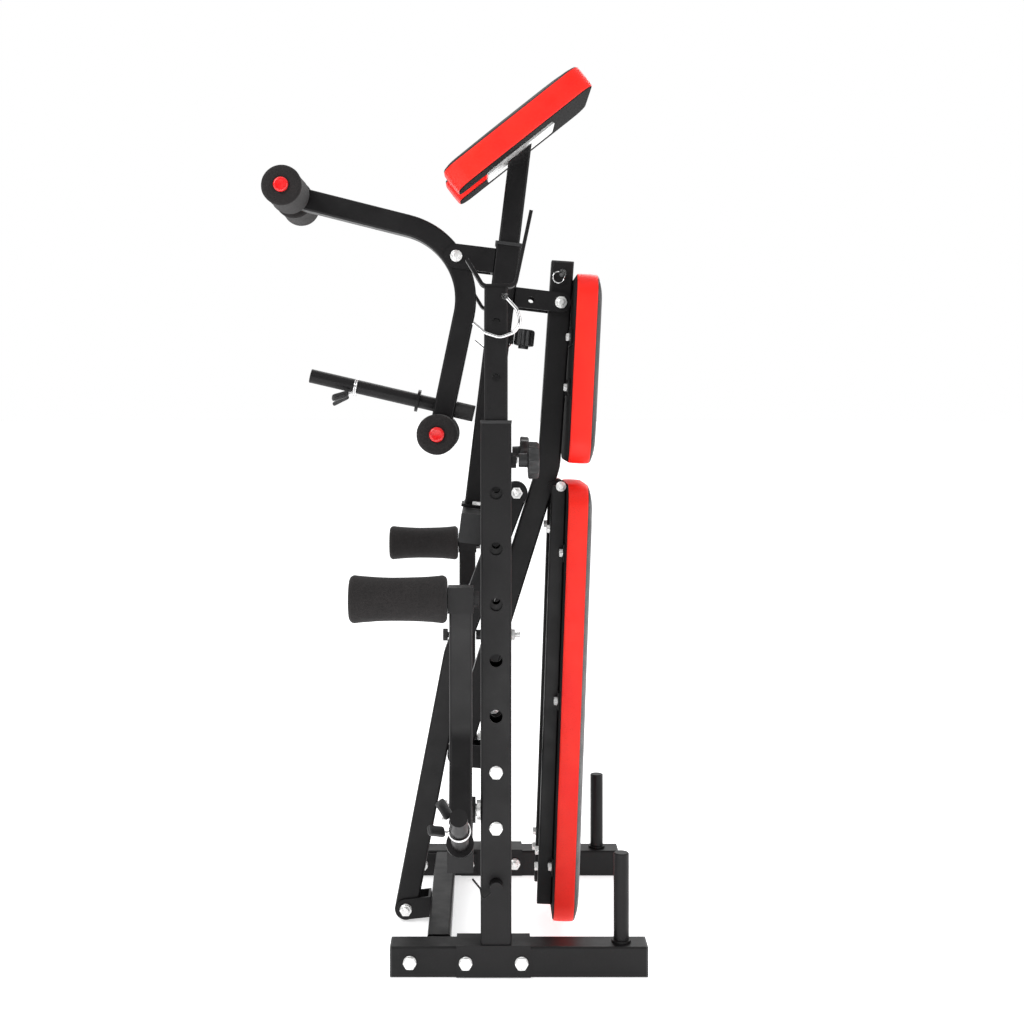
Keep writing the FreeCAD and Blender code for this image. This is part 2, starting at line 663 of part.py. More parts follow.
def stabiliser_centre():
    return along_column(-5 - RAIL / 2)


def front_stabiliser():
    middle = stabiliser_centre()
    up = unit(COLUMN_FOOT, COLUMN_TOP)
    start, end = at(middle, -STABILISER_HALF), at(middle, STABILISER_HALF)
    outer = Part.Face(rounded_wire(start, up, Vector(0, 1, 0).cross(up), RAIL, RAIL, CORNER))
    bore = RAIL - 2 * WALL
    inner = Part.Face(rounded_wire(start, up, Vector(0, 1, 0).cross(up), bore, bore, 2))
    return outer.extrude(end - start).cut(inner.extrude(end - start))


def stabiliser_caps():
    middle = stabiliser_centre()
    up = unit(COLUMN_FOOT, COLUMN_TOP)
    rear = Vector(0, 1, 0).cross(up)
    caps = []
    for side in SIDES.values():
        edge = at(middle, side * STABILISER_HALF)
        lid = Part.Face(rounded_wire(edge, up, rear, RAIL, RAIL, CORNER)).extrude(Vector(0, side * 4, 0))
        bore = RAIL - 2 * WALL
        plug = Part.Face(rounded_wire(edge, up, rear, bore, bore, 2)).extrude(Vector(0, -side * 16, 0))
        caps.append(lid.fuse(plug))
    return caps


def column_collar():
    start, end = at(along_column(foot_on_column(COLUMN_TOP) - 26)), at(COLUMN_TOP)
    return square_collar(start, end, 6, COLUMN + 4, COLUMN - 2 * WALL, POST + 0.6)


def column_bolts():
    """Lever pivot bolt, the two halves of the link bolt and the stabiliser bolts."""
    reach = LEVER / 2 + GAP + PLATE
    lever = bolt(at(LEVER_PIVOT, -reach), at(LEVER_PIVOT, reach), BOLT_R - RUNNING, 19)
    parts = [lever]
    face = TUBE / 2 + GAP
    for side in SIDES.values():
        outer = side * (face + PLATE)
        head = hexagon(at(A1, outer), at(A1, outer + side * 7), 19)
        parts.append(head.fuse(pin_y(A1, side * (face + 0.2), outer, BOLT_R)))
    up = unit(COLUMN_FOOT, COLUMN_TOP)
    for side in SIDES.values():
        spot = at(COLUMN_FOOT, side * 35)
        parts.append(hexagon(spot, spot + up * 6, 16))
    return parts


def clamp_knob():
    """Ribbed knob on a screw that clamps the preacher post."""
    height = foot_on_column(CLAMP)
    screw = rod(at(along_column(height, POST / 2 + 0.5)), at(along_column(height, 51)), 5)
    collar = rod(at(along_column(height, 42)), at(along_column(height, 47)), 9)
    body = rod(at(along_column(height, 47)), at(along_column(height, 77)), 16)
    rear = (at(along_column(height, 1)) - at(along_column(height, 0))).normalize()
    for k in range(10):
        turn = FreeCAD.Rotation(rear, 36 * k)
        rib = turn.multVec(Vector(0, 16, 0))
        body = body.fuse(rod(at(along_column(height, 47)) + rib, at(along_column(height, 75)) + rib, 2.4))
    return screw.fuse(collar).fuse(body).removeSplitter()


# ---------------------------------------------------------------- preacher pad
def preacher_normal():
    along = unit(PREACHER_LOW, PREACHER_HIGH)
    return along, along.cross(Vector(0, 1, 0))


def preacher_slab(depth0, depth1, half, corner, trim):
    """Slab along the preacher line; depths are measured up from its underside."""
    along, up = preacher_normal()
    start = at(PREACHER_LOW) + along * trim + up * (depth0 - PREACHER_THICK / 2)
    end = at(PREACHER_HIGH) - along * trim + up * (depth0 - PREACHER_THICK / 2)
    length = (end - start).Length
    middle = start + along * (length / 2)
    face = Part.Face(rounded_wire(middle, along, Vector(0, 1, 0), length, 2 * half, corner))
    return face.extrude(up * (depth1 - depth0))


def preacher_layer(depth0, depth1, corner, trim):
    """Slab of the pad's outline with the U-shaped notch in its low end, trimmed all round."""
    along, up = preacher_normal()
    slab = preacher_slab(depth0, depth1, PREACHER_HALF - trim, corner, trim)
    half = NOTCH_HALF + trim
    hub = at(PREACHER_LOW) + along * (NOTCH_DEEP - NOTCH_HALF) - up * PREACHER_THICK
    mouth = at(PREACHER_LOW) - along * 20 - up * PREACHER_THICK
    side = Vector(0, half, 0)
    ring = [mouth - side, hub - side, hub + side, mouth + side, mouth - side]
    notch = Part.Face(Part.makePolygon(ring)).extrude(up * (2 * PREACHER_THICK))
    slab = slab.cut(notch).cut(rod(hub, hub + up * (2 * PREACHER_THICK), half))
    low = at(PREACHER_LOW).dot(along) + trim
    lips = [edge for edge in slab.Edges
            if all(abs(vertex.Point.dot(along) - low) < 0.01 for vertex in edge.Vertexes)
            and all(abs(abs(vertex.Point.y) - half) < 0.01 for vertex in edge.Vertexes)]
    return slab.makeFillet(14, lips)


def preacher_post():
    """Sliding post with the steel plate that carries the pad."""
    along, up = preacher_normal()
    top = foot_on_column(COLUMN_TOP) + 260
    shape = tube(at(along_column(200)), at(along_column(top)), size=POST)
    shape = shape.cut(preacher_slab(-4, 300, 300, 4, -300))
    middle = at(along_column(foot_on_column(COLUMN_TOP) + 172))
    low = at(PREACHER_LOW) - up * (PREACHER_THICK / 2 + 4)
    spot = middle + up * ((low - middle).dot(up))
    start, end = spot - along * 75, spot + along * 75
    plate = Part.Face(rounded_wire((start + end) * 0.5, along, Vector(0, 1, 0), 150, 90, 8))
    plate = plate.extrude(up * 4)
    return shape.fuse(plate).removeSplitter()


def preacher_pad():
    up = preacher_normal()[1]
    shape = preacher_layer(BOARD, PREACHER_THICK, 30, 0)
    return soften(shape, 12, up, [at(PREACHER_LOW).dot(up) + PREACHER_THICK / 2])


# ---------------------------------------------------------------- leg lever
def leg_lever():
    """Bent lever; both ends reach just past their roller axes."""
    top = at(ROLLER_UP) + unit(LEVER_CORNER, ROLLER_UP) * 15
    low = at(ROLLER_LOW) + unit(LEVER_CORNER, ROLLER_LOW) * 15
    shape = bent_tube([top, at(LEVER_CORNER), low], LEVER_BEND_R, size=LEVER)
    for spot in (ROLLER_UP, ROLLER_LOW):
        shape = shape.cut(pin_y(spot, -40, 40, 8 + RUNNING))
    shape = shape.cut(pin_y(LEVER_PIVOT, -40, 40, BOLT_R))
    return shape.cut(rod(at(PEG_TIP), at(PEG_ROOT), PEG_R))


def roller_axle(spot):
    """Rod through the lever with a red cap on each end."""
    shape = pin_y(spot, -FOAM_OUT, FOAM_OUT, 8)
    for side in SIDES.values():
        cap = pin_y(spot, side * FOAM_OUT, side * (FOAM_OUT + 6), 13)
        rim = [edge for edge in cap.Edges if abs(edge.BoundBox.Center.y) > FOAM_OUT + 5.9
               and edge.BoundBox.YLength < 0.1]
        shape = shape.fuse(cap.makeFillet(3, rim))
    return shape.removeSplitter()


def roller_foams(spot):
    """One foam sleeve each side of the lever, rounded at its ends."""
    foams = []
    for side in SIDES.values():
        foam = pin_y(spot, side * FOAM_IN, side * FOAM_OUT, FOAM_R)
        rims = [edge for edge in foam.Edges if edge.BoundBox.YLength < 0.1]
        foam = foam.makeFillet(7, rims).cut(pin_y(spot, side * FOAM_IN, side * FOAM_OUT, 8))
        foams.append(foam)
    return foams


def lever_peg():
    """Plate peg through the lever, with a stop flange before it."""
    tip, root = at(PEG_TIP), at(PEG_ROOT)
    along = (root - tip).normalize()
    shape = rod(tip, root - along * BUMPER, PEG_R)
    flange = tip + along * 196
    return shape.fuse(rod(flange, flange + along * 5, 20)).removeSplitter()


def lever_bumper():
    """Rubber stop behind the lever, on the end of the peg."""
    along = unit(PEG_TIP, PEG_ROOT)
    return rod(at(PEG_ROOT) - along * BUMPER, at(PEG_ROOT) - along * 2.5, BUMPER_R)


def spring_collar(centre, axis, grip):
    """Wire spring collar: a short coil whose two tails lean along the axis, each with a flat paddle."""
    axis = Vector(axis).normalize()
    grip = (Vector(grip) - axis * axis.dot(grip)).normalize()
    bore = PEG_R + 0.3
    shape = rod(centre - axis * 3.6, centre + axis * 3.6, bore + 3.2)
    shape = shape.cut(rod(centre - axis * 8, centre + axis * 8, bore))
    for turn in (-30, 30):
        radial = FreeCAD.Rotation(axis, turn).multVec(grip)
        lean = (radial * math.cos(math.radians(50)) + axis * math.sin(math.radians(50))).normalize()
        start = centre + radial * (bore + 1.7)
        paddle = rounded_bar(start + lean * 12, start + lean * 42, axis.cross(radial), 15, 7, 2.5)
        shape = shape.fuse(rod(start, start + lean * 14, 1.6)).fuse(paddle)
    return shape.removeSplitter()


# ---------------------------------------------------------------- fold link
def fold_link():
    """Bent link between the front cross tube and the column foot."""
    shape = bent_tube([at(G1), at(LINK_BEND), at(A1)], 90)
    for spot, toward in ((G1, LINK_BEND), (A1, LINK_BEND)):
        heel = pin_y(spot, -TUBE / 2, TUBE / 2, TUBE / 2)
        inner = TUBE - 2 * WALL
        hollow = rounded_bar(at(spot), at(toward), Vector(0, 1, 0), inner, inner, 2)
        shape = shape.fuse(heel.cut(hollow))
        shape = shape.cut(pin_y(spot, -40, 40, BOLT_R))
    return shape.removeSplitter()


def link_face_x(z, side):
    """X of the link's left (-1) or right (1) face on its upper slope."""
    slope = (A1[0] - LINK_BEND[0]) / (A1[1] - LINK_BEND[1])
    return LINK_BEND[0] + slope * (z - LINK_BEND[1]) + side * TUBE / 2 * math.hypot(1, slope)


def link_bumper():
    """Storage bolt head and rubber spacer that the main tube rests against."""
    left = Vector(link_face_x(STORE_BOLT_Z, -1), 0, STORE_BOLT_Z)
    head = hexagon(left - Vector(13, 0, 0), left - Vector(4.4, 0, 0), 19)
    stem = rod(left - Vector(5, 0, 0), left - Vector(2.2, 0, 0), 5)
    right = link_face_x(STORE_BOLT_Z, 1) + 3.6
    spacer = rod(Vector(right, 0, STORE_BOLT_Z), Vector(main_face_x(STORE_BOLT_Z, -1) - 4, 0, STORE_BOLT_Z), 9)
    return [head.fuse(stem).removeSplitter(), spacer]


# ---------------------------------------------------------------- butterfly arms
def flye_arm(side):
    """Arm in the YZ plane: hub, level run, leaning riser and the foam's bracket."""
    def spot(y, z):
        return Vector(FLYE_X, side * y, z)
    ahead = Vector(1, 0, 0)
    level = tube(spot(RAIL_Y, FLYE_Z), spot(FLYE_END_Y, FLYE_Z), ahead, FLYE)
    riser = bent_tube([spot(FLYE_RISE_Y, FLYE_Z + 10), spot(*FLYE_BEND), spot(*FLYE_TOP)], 90, ahead, FLYE)
    hub = rod(spot(RAIL_Y, FLYE_Z) - ahead * 21, spot(RAIL_Y, FLYE_Z) + ahead * 21, 21)
    head = box(FLYE_X - 19, FLYE_X + 19, side * (FLYE_TOP[0] - 19), side * (FLYE_TOP[0] + 19),
               FLYE_TOP[1] - 19, FLYE_TOP[1] + 19)
    foot = box(FLYE_X - 19, FLYE_X + 19, side * (FLYE_END_Y - 44), side * FLYE_END_Y,
               FLYE_Z - 18, FLYE_Z + 18)
    shape = level.fuse(riser).fuse(hub).fuse(head).fuse(foot)
    bore = rod(spot(RAIL_Y, FLYE_Z) - ahead * 40, spot(RAIL_Y, FLYE_Z) + ahead * 40, 10 + RUNNING)
    axle = rod(spot(*FLYE_TOP) - ahead * 40, spot(*FLYE_TOP) + ahead * 40, 8)
    return shape.cut(bore).cut(axle).removeSplitter()


def flye_axle(side):
    """Rod that carries the arm foam, with a nut behind the bracket."""
    y, z = side * FLYE_TOP[0], FLYE_TOP[1]
    shape = rod(Vector(FLYE_FOAM[0] + 12, y, z), Vector(FLYE_X + 24, y, z), 8 - RUNNING)
    return shape.fuse(hexagon(Vector(FLYE_X + 19, y, z), Vector(FLYE_X + 27, y, z), 22)).removeSplitter()


def flye_foam(side):
    """Foam sleeve, slightly waisted, closed at its outer end."""
    y, z = side * FLYE_TOP[0], FLYE_TOP[1]
    x0, x1 = FLYE_FOAM
    r = FLYE_FOAM_R
    middle = (x0 + x1) / 2
    soft = 9.0
    profile = [Part.LineSegment(Vector(x0, y, z), Vector(x0, y, z + r - soft)).toShape(),
               Part.Arc(Vector(x0, y, z + r - soft), Vector(x0 + soft * 0.3, y, z + r - soft * 0.3),
                        Vector(x0 + soft, y, z + r)).toShape(),
               Part.Arc(Vector(x0 + soft, y, z + r), Vector(middle, y, z + r - 3.5),
                        Vector(x1 - soft, y, z + r)).toShape(),
               Part.Arc(Vector(x1 - soft, y, z + r), Vector(x1 - soft * 0.3, y, z + r - soft * 0.3),
                        Vector(x1, y, z + r - soft)).toShape(),
               Part.LineSegment(Vector(x1, y, z + r - soft), Vector(x1, y, z)).toShape(),
               Part.LineSegment(Vector(x1, y, z), Vector(x0, y, z)).toShape()]
    solid = Part.Face(Part.Wire(profile)).revolve(Vector(x0, y, z), Vector(1, 0, 0), 360)
    bore = rod(Vector(x0 + 11, y, z), Vector(x1 + 1, y, z), 8)
    return solid.cut(bore)


def flye_peg(side):
    """Plate peg that leans out and up from the arm's elbow, with a stop flange."""
    root = Vector(FLYE_X, side * FLYE_PEG_ROOT[0], FLYE_PEG_ROOT[1])
    tip = Vector(FLYE_X, side * FLYE_PEG_TIP[0], FLYE_PEG_TIP[1])
    along = (tip - root).normalize()
    shape = rod(root - along * 12, tip, PEG_R)
    shape = shape.fuse(rod(root + along * 12, root + along * 17, 20))
    keep_out = box(FLYE_X - 19, FLYE_X + 19, side * (FLYE_END_Y - 44), side * FLYE_END_Y,
                   FLYE_Z - 18, FLYE_Z + 18)
    riser = bent_bar([Vector(FLYE_X, side * FLYE_RISE_Y, FLYE_Z + 10),
                      Vector(FLYE_X, side * FLYE_BEND[0], FLYE_BEND[1]),
                      Vector(FLYE_X, side * FLYE_TOP[0], FLYE_TOP[1])], 90,
                     Vector(1, 0, 0), FLYE, FLYE, CORNER)
    return shape.cut(keep_out).cut(riser).removeSplitter()


def flye_collar(side):
    root = Vector(FLYE_X, side * FLYE_PEG_ROOT[0], FLYE_PEG_ROOT[1])
    tip = Vector(FLYE_X, side * FLYE_PEG_TIP[0], FLYE_PEG_TIP[1])
    along = (tip - root).normalize()
    grip = Vector(-1, 0, 0) + along.cross(Vector(1, 0, 0)) * (0.35 * -side)
    return spring_collar(root + along * 88, along, grip)


# ---------------------------------------------------------------- build
def build_rack():
    for name, side in SIDES.items():
        export("foot_rail_" + name, foot_rail(side))
        export("upright_" + name, upright(side))
        export("plate_peg_" + name, plate_peg(side))
    export("foot_caps", foot_caps())
    export("upright_collars", upright_collars())
    export("front_cross_tube", front_cross_tube())
    export("lower_crossbar", lower_crossbar())
    export("foot_bolts", foot_bolts() + crossbar_bolts())
    export("rack_pivot_bolts", rack_pivot_bolts())
    export("flye_shafts", flye_shafts())
    export("support_rod", support_rod())


def build_posts():
    for name, side in SIDES.items():
        export("post_" + name, post(side))
        export("bar_cradle_" + name, cradle(side))
        export("safety_hook_" + name, safety_hook(side))
        export("height_knob_" + name, height_knob(side))


def build_main_frame():
    export("main_tube", main_tube())
    export("main_tube_cap", main_tube_cap())
    export("column_spacers", column_spacers())
    export("main_frame_bolts", main_frame_bolts())
    export("lock_pin", lock_pin())
    export("seat_board", lying_box(SEAT_LOW, SEAT_HIGH, 0, BOARD, PAD_HALF - 4, 36, 4, 4))
    export("seat_pad", pad_solid(SEAT_LOW, SEAT_HIGH, BOARD, SEAT_THICK, PAD_HALF, 40, 0, 11))
    export("backrest_frame", backrest_frame())
    export("backrest_board", lying_box(BACK_LOW, BACK_HIGH, 0, BOARD, PAD_HALF - 4, 36, 4, 4))
    export("backrest_pad", pad_solid(BACK_LOW, BACK_HIGH, BOARD, BACK_THICK, PAD_HALF, 40, 0, 11))
    export("backrest_bolts", backrest_bolts())


def build_column():
    export("column_tube", column_tube())
    export("front_stabiliser", front_stabiliser())
    export("stabiliser_caps", stabiliser_caps())
    export("column_collar", column_collar())
    export("column_bolts", column_bolts())
    export("clamp_knob", clamp_knob())
    export("preacher_post", preacher_post())
    export("preacher_board", preacher_layer(0, BOARD, 26, 4))
    export("preacher_pad", preacher_pad())
    export("leg_lever", leg_lever())
    for name, spot in (("upper", ROLLER_UP), ("lower", ROLLER_LOW)):
        export(name + "_roller_axle", roller_axle(spot))
        export(name + "_roller_foams", roller_foams(spot))
    export("lever_peg", lever_peg())
    export("lever_bumper", lever_bumper())
    axis = at(PEG_TIP) - at(PEG_ROOT)
    centre = at(PEG_TIP) + (at(PEG_ROOT) - at(PEG_TIP)).normalize() * 83
    export("lever_collar", spring_collar(centre, axis, Vector(-0.45, -0.25, -0.85)))


def build_link_and_arms():
    export("fold_link", fold_link())
    export("link_bumper", link_bumper())
    for name, side in SIDES.items():
        export("flye_arm_" + name, [flye_arm(side), flye_axle(side)])
        export("flye_foam_" + name, flye_foam(side))
        export("flye_peg_" + name, flye_peg(side))
        export("flye_collar_" + name, flye_collar(side))


build_rack()
build_posts()
build_main_frame()
build_column()
build_link_and_arms()
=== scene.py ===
"""Looks of the folding weight bench: finishes, upholstery, foam, fasteners, stage, lights and camera."""
import math

import bmesh
import bpy
import numpy as np
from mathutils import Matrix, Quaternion, Vector, noise
from mathutils.geometry import delaunay_2d_cdt

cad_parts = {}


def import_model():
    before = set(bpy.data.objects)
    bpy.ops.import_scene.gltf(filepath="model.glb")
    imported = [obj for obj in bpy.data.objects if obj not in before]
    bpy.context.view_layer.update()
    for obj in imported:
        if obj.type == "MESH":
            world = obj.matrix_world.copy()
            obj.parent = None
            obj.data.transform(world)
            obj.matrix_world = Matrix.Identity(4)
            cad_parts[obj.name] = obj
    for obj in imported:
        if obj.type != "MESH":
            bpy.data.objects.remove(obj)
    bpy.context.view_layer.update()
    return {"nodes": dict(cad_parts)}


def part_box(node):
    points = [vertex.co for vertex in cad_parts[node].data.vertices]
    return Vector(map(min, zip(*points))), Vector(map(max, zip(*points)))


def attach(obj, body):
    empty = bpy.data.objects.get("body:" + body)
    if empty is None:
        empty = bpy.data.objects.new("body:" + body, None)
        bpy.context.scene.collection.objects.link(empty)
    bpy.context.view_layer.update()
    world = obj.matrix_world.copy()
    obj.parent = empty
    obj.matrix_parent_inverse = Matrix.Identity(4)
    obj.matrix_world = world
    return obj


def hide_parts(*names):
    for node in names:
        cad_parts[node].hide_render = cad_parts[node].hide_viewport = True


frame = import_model()

NODES = frame["nodes"]
SIDES = {"left": -1, "right": 1}
MM = 0.001
SMOOTH = math.radians(35)       # edges sharper than this stay sharp
TAU = 2 * math.pi
PLATE_THICKNESS = 4.2 * MM      # of the preacher post's plate, with a little over
FLOOR_RADIUS = 150
FLOOR_DROP = 0.4 * MM           # the floor lies this far under the feet


# ---------------------------------------------------------------- camera, floor and light
def camera():
    data = bpy.data.cameras.new("camera")
    data.lens, data.sensor_width = 50.6, 36.0
    eye = bpy.data.objects.new("camera", data)
    eye.location = (0.057, -2.598, 0.910)
    eye.rotation_euler = (math.radians(90), 0, 0)
    data.shift_x, data.shift_y = 0.0283, -0.0967
    bpy.context.scene.collection.objects.link(eye)
    bpy.context.scene.camera = eye


def ramp(tree, value, start, end, low, high):
    """Map a value from start..end to low..high, held at both ends."""
    node = tree.nodes.new("ShaderNodeMapRange")
    tree.links.new(value, node.inputs["Value"])
    for socket, number in (("From Min", start), ("From Max", end), ("To Min", low), ("To Max", high)):
        node.inputs[socket].default_value = number
    return node.outputs[0]


def softbox(name, place, target, size, power):
    data = bpy.data.lights.new(name, "AREA")
    data.shape, data.size, data.energy = "SQUARE", size, power
    lamp = bpy.data.objects.new(name, data)
    lamp.location = place
    lamp.rotation_euler = (Vector(target) - Vector(place)).to_track_quat("-Z", "Y").to_euler()
    bpy.context.scene.collection.objects.link(lamp)
    return lamp


def studio():
    """White surroundings that light less from the camera's side, and four softboxes."""
    world = bpy.data.worlds.new("studio")
    bpy.context.scene.world = world
    world.use_nodes = True
    tree = world.node_tree
    tree.nodes.clear()
    out = tree.nodes.new("ShaderNodeOutputWorld")
    seen, lit = tree.nodes.new("ShaderNodeBackground"), tree.nodes.new("ShaderNodeBackground")
    pick = tree.nodes.new("ShaderNodeMixShader")
    seen.inputs["Color"].default_value = (1, 1, 1, 1)
    coords = tree.nodes.new("ShaderNodeTexCoord")
    split = tree.nodes.new("ShaderNodeSeparateXYZ")
    total = tree.nodes.new("ShaderNodeMath")
    path = tree.nodes.new("ShaderNodeLightPath")
    tree.links.new(coords.outputs["Generated"], split.inputs[0])
    tree.links.new(ramp(tree, split.outputs["Y"], -0.9, 0.6, 0.04, 0.85), total.inputs[0])
    tree.links.new(ramp(tree, split.outputs["Z"], 0.25, 0.95, 0.0, 0.85), total.inputs[1])
    tree.links.new(total.outputs[0], lit.inputs["Strength"])
    tree.links.new(path.outputs["Is Camera Ray"], pick.inputs[0])
    tree.links.new(lit.outputs[0], pick.inputs[1])
    tree.links.new(seen.outputs[0], pick.inputs[2])
    tree.links.new(pick.outputs[0], out.inputs[0])
    softbox("key", (-1.9, -2.3, 2.7), (0.05, 0, 0.8), 1.5, 54)
    softbox("fill", (2.3, -2.0, 1.5), (0.1, 0, 0.7), 1.4, 17)
    softbox("rim", (0.9, 2.2, 2.9), (0.0, 0, 0.8), 1.8, 36)
    low = softbox("low", (0.1, -1.6, 0.15), (0.1, -0.3, 0.2), 0.8, 4)
    low.visible_camera = False


def floor():
    ground = bpy.data.meshes.new("floor")
    shape = bmesh.new()
    bmesh.ops.create_circle(shape, cap_ends=True, segments=128, radius=FLOOR_RADIUS)
    shape.to_mesh(ground)
    shape.free()
    disc = bpy.data.objects.new("floor", ground)
    disc.location = (0, 0, -FLOOR_DROP)
    bpy.context.scene.collection.objects.link(disc)
    return disc


# ---------------------------------------------------------------- finishes
class Finish:
    """A Principled material with helpers that wire procedural detail into it."""

    def __init__(self, name, colour, roughness, metallic=0.0, **sockets):
        self.material = bpy.data.materials.new(name)
        self.material.use_nodes = True
        self.tree = self.material.node_tree
        self.shader = self.tree.nodes["Principled BSDF"]
        self.set(self.shader, "Base Color", (*colour, 1))
        self.set(self.shader, "Roughness", roughness)
        self.set(self.shader, "Metallic", metallic)
        for socket, value in sockets.items():
            self.set(self.shader, socket.replace("_", " "), value)
        coords = self.tree.nodes.new("ShaderNodeTexCoord")
        self.place = coords.outputs["Object"]
        self.bumped = None

    @staticmethod
    def set(node, socket, value):
        node.inputs[socket].default_value = value

    def link(self, source, node, socket):
        self.tree.links.new(source, node.inputs[socket])

    def noise(self, scale, detail=2.0, rough=0.5, place=None):
        node = self.tree.nodes.new("ShaderNodeTexNoise")
        self.link(place or self.place, node, "Vector")
        self.set(node, "Scale", scale)
        self.set(node, "Detail", detail)
        self.set(node, "Roughness", rough)
        return node.outputs["Fac"]

    def cells(self, scale, feature="DISTANCE_TO_EDGE", place=None):
        node = self.tree.nodes.new("ShaderNodeTexVoronoi")
        node.feature = feature
        self.link(place or self.place, node, "Vector")
        self.set(node, "Scale", scale)
        return node.outputs["Distance"]

    def warped(self, scale, amount):
        """Coordinates shifted by a soft noise, so that cells aren't regular."""
        shift = self.tree.nodes.new("ShaderNodeTexNoise")
        self.link(self.place, shift, "Vector")
        self.set(shift, "Scale", scale)
        grow = self.tree.nodes.new("ShaderNodeVectorMath")
        grow.operation = "MULTIPLY_ADD"
        self.link(shift.outputs["Color"], grow, 0)
        grow.inputs[1].default_value = (amount, amount, amount)
        self.link(self.place, grow, 2)
        return grow.outputs[0]

    def span(self, value, low, high, start=0.3, end=0.7):
        return ramp(self.tree, value, start, end, low, high)

    def blend(self, share, low, high):
        node = self.tree.nodes.new("ShaderNodeMix")
        node.data_type = "RGBA"
        self.tree.links.new(share, node.inputs[0])
        for index, colour in ((6, low), (7, high)):
            if isinstance(colour, tuple):
                node.inputs[index].default_value = (*colour, 1)
            else:
                self.tree.links.new(colour, node.inputs[index])
        return node.outputs[2]

    def colour(self, source):
        self.link(source, self.shader, "Base Color")

    def roughness(self, source):
        self.link(source, self.shader, "Roughness")

    def bump(self, height, strength, depth):
        """Add a height to the surface, on top of the heights added before."""
        node = self.tree.nodes.new("ShaderNodeBump")
        self.link(height, node, "Height")
        self.set(node, "Strength", strength)
        self.set(node, "Distance", depth)
        if self.bumped:
            self.link(self.bumped, node, "Normal")
        self.bumped = node.outputs[0]
        self.link(self.bumped, self.shader, "Normal")


def powder_coat():
    finish = Finish("powder_coat", (0.006, 0.006, 0.007), 0.42, Specular_IOR_Level=0.26)
    share = finish.span(finish.noise(5.0, 3.0), 0.0, 1.0)
    speck = finish.span(finish.noise(420.0, 2.0), 0.0, 0.35, 0.55, 0.75)
    tone = finish.blend(share, (0.0040, 0.0038, 0.0041), (0.0070, 0.0064, 0.0068))
    finish.colour(finish.blend(speck, tone, (0.013, 0.012, 0.013)))
    finish.roughness(finish.span(finish.noise(30.0, 3.0), 0.36, 0.47))
    finish.bump(finish.noise(620.0, 1.5), 0.30, 0.16 * MM)
    finish.bump(finish.noise(1900.0, 1.0), 0.18, 0.06 * MM)
    return finish.material


def zinc():
    finish = Finish("bright_zinc", (0.90, 0.90, 0.89), 0.3, 0.6)
    tone = finish.span(finish.noise(160.0, 3.0), 0.0, 1.0)
    finish.colour(finish.blend(tone, (0.84, 0.84, 0.83), (0.95, 0.95, 0.94)))
    finish.roughness(finish.span(finish.noise(90.0, 4.0), 0.24, 0.40))
    finish.bump(finish.noise(1300.0, 2.0), 0.12, 0.05 * MM)
    return finish.material


def chrome():
    finish = Finish("chrome_wire", (0.82, 0.82, 0.82), 0.12, 1.0)
    finish.roughness(finish.span(finish.noise(240.0, 3.0), 0.08, 0.22))
    finish.bump(finish.noise(500.0, 2.0), 0.08, 0.05 * MM)
    return finish.material


def moulded_plastic():
    finish = Finish("moulded_plastic", (0.014, 0.014, 0.015), 0.5)
    share = finish.span(finish.noise(22.0, 3.0), 0.0, 1.0)
    finish.colour(finish.blend(share, (0.0115, 0.0115, 0.012), (0.019, 0.019, 0.020)))
    finish.roughness(finish.span(finish.noise(70.0, 3.0), 0.40, 0.58))
    finish.bump(finish.cells(1500.0, "F1"), 0.22, 0.10 * MM)
    return finish.material


def rubber():
    finish = Finish("rubber", (0.012, 0.012, 0.012), 0.72)
    share = finish.span(finish.noise(60.0, 4.0), 0.0, 1.0)
    finish.colour(finish.blend(share, (0.010, 0.010, 0.010), (0.020, 0.019, 0.019)))
    finish.roughness(finish.span(finish.noise(150.0, 2.0), 0.62, 0.80))
    finish.bump(finish.noise(900.0, 3.0), 0.30, 0.12 * MM)
    return finish.material


def foam():
    """Closed-cell rubber foam with a fine open-pored skin."""
    finish = Finish("foam", (0.024, 0.021, 0.021), 0.9, Sheen_Weight=0.06, Sheen_Roughness=0.5,
                    Specular_IOR_Level=0.2)
    pores = finish.cells(760.0, "F1", finish.warped(300.0, 0.0012))
    pits = finish.span(pores, 0.0, 1.0, 0.1, 0.75)
    cloud = finish.span(finish.noise(26.0, 4.0), 0.0, 1.0)
    tone = finish.blend(cloud, (0.021, 0.019, 0.019), (0.033, 0.029, 0.029))
    finish.colour(finish.blend(pits, tone, (0.013, 0.012, 0.012)))
    finish.roughness(finish.span(finish.noise(200.0, 3.0), 0.82, 0.96))
    finish.bump(pores, 0.55, 0.22 * MM)
    finish.bump(finish.noise(120.0, 4.0), 0.25, 0.5 * MM)
    return finish.material


def vinyl(name, deep, bright, gloss):
    """Embossed upholstery vinyl: fine leather pebbles over a soft unevenness, with painted shade darkening
    the creases between them.
    """
    finish = Finish(name, bright, 0.4, Specular_IOR_Level=0.3, Coat_Weight=0.04, Coat_Roughness=0.4)
    place = finish.warped(260.0, 0.0016)
    pebbles = finish.cells(620.0, place=place)
    creases = finish.span(pebbles, 1.0, 0.0, 0.0, 0.10)
    cloud = finish.span(finish.noise(9.0, 4.0), 0.0, 1.0)
    tone = finish.blend(cloud, deep, bright)
    # painted shade: the colour darkens in the creases between the pebbles, where shade falls
    crease_shade_colour = tuple(0.62 * part for part in deep)
    painted_crease_shade = finish.span(creases, 0.0, 0.42, 0.0, 1.0)
    finish.colour(finish.blend(painted_crease_shade, tone, crease_shade_colour))
    finish.roughness(finish.span(finish.noise(46.0, 3.0), gloss, gloss + 0.12))
    finish.bump(finish.span(pebbles, 0.0, 1.0, 0.0, 0.22), 0.34, 0.14 * MM)
    finish.bump(finish.noise(1500.0, 2.0), 0.16, 0.05 * MM)
    finish.bump(finish.noise(38.0, 3.0), 0.16, 0.5 * MM)
    return finish.material


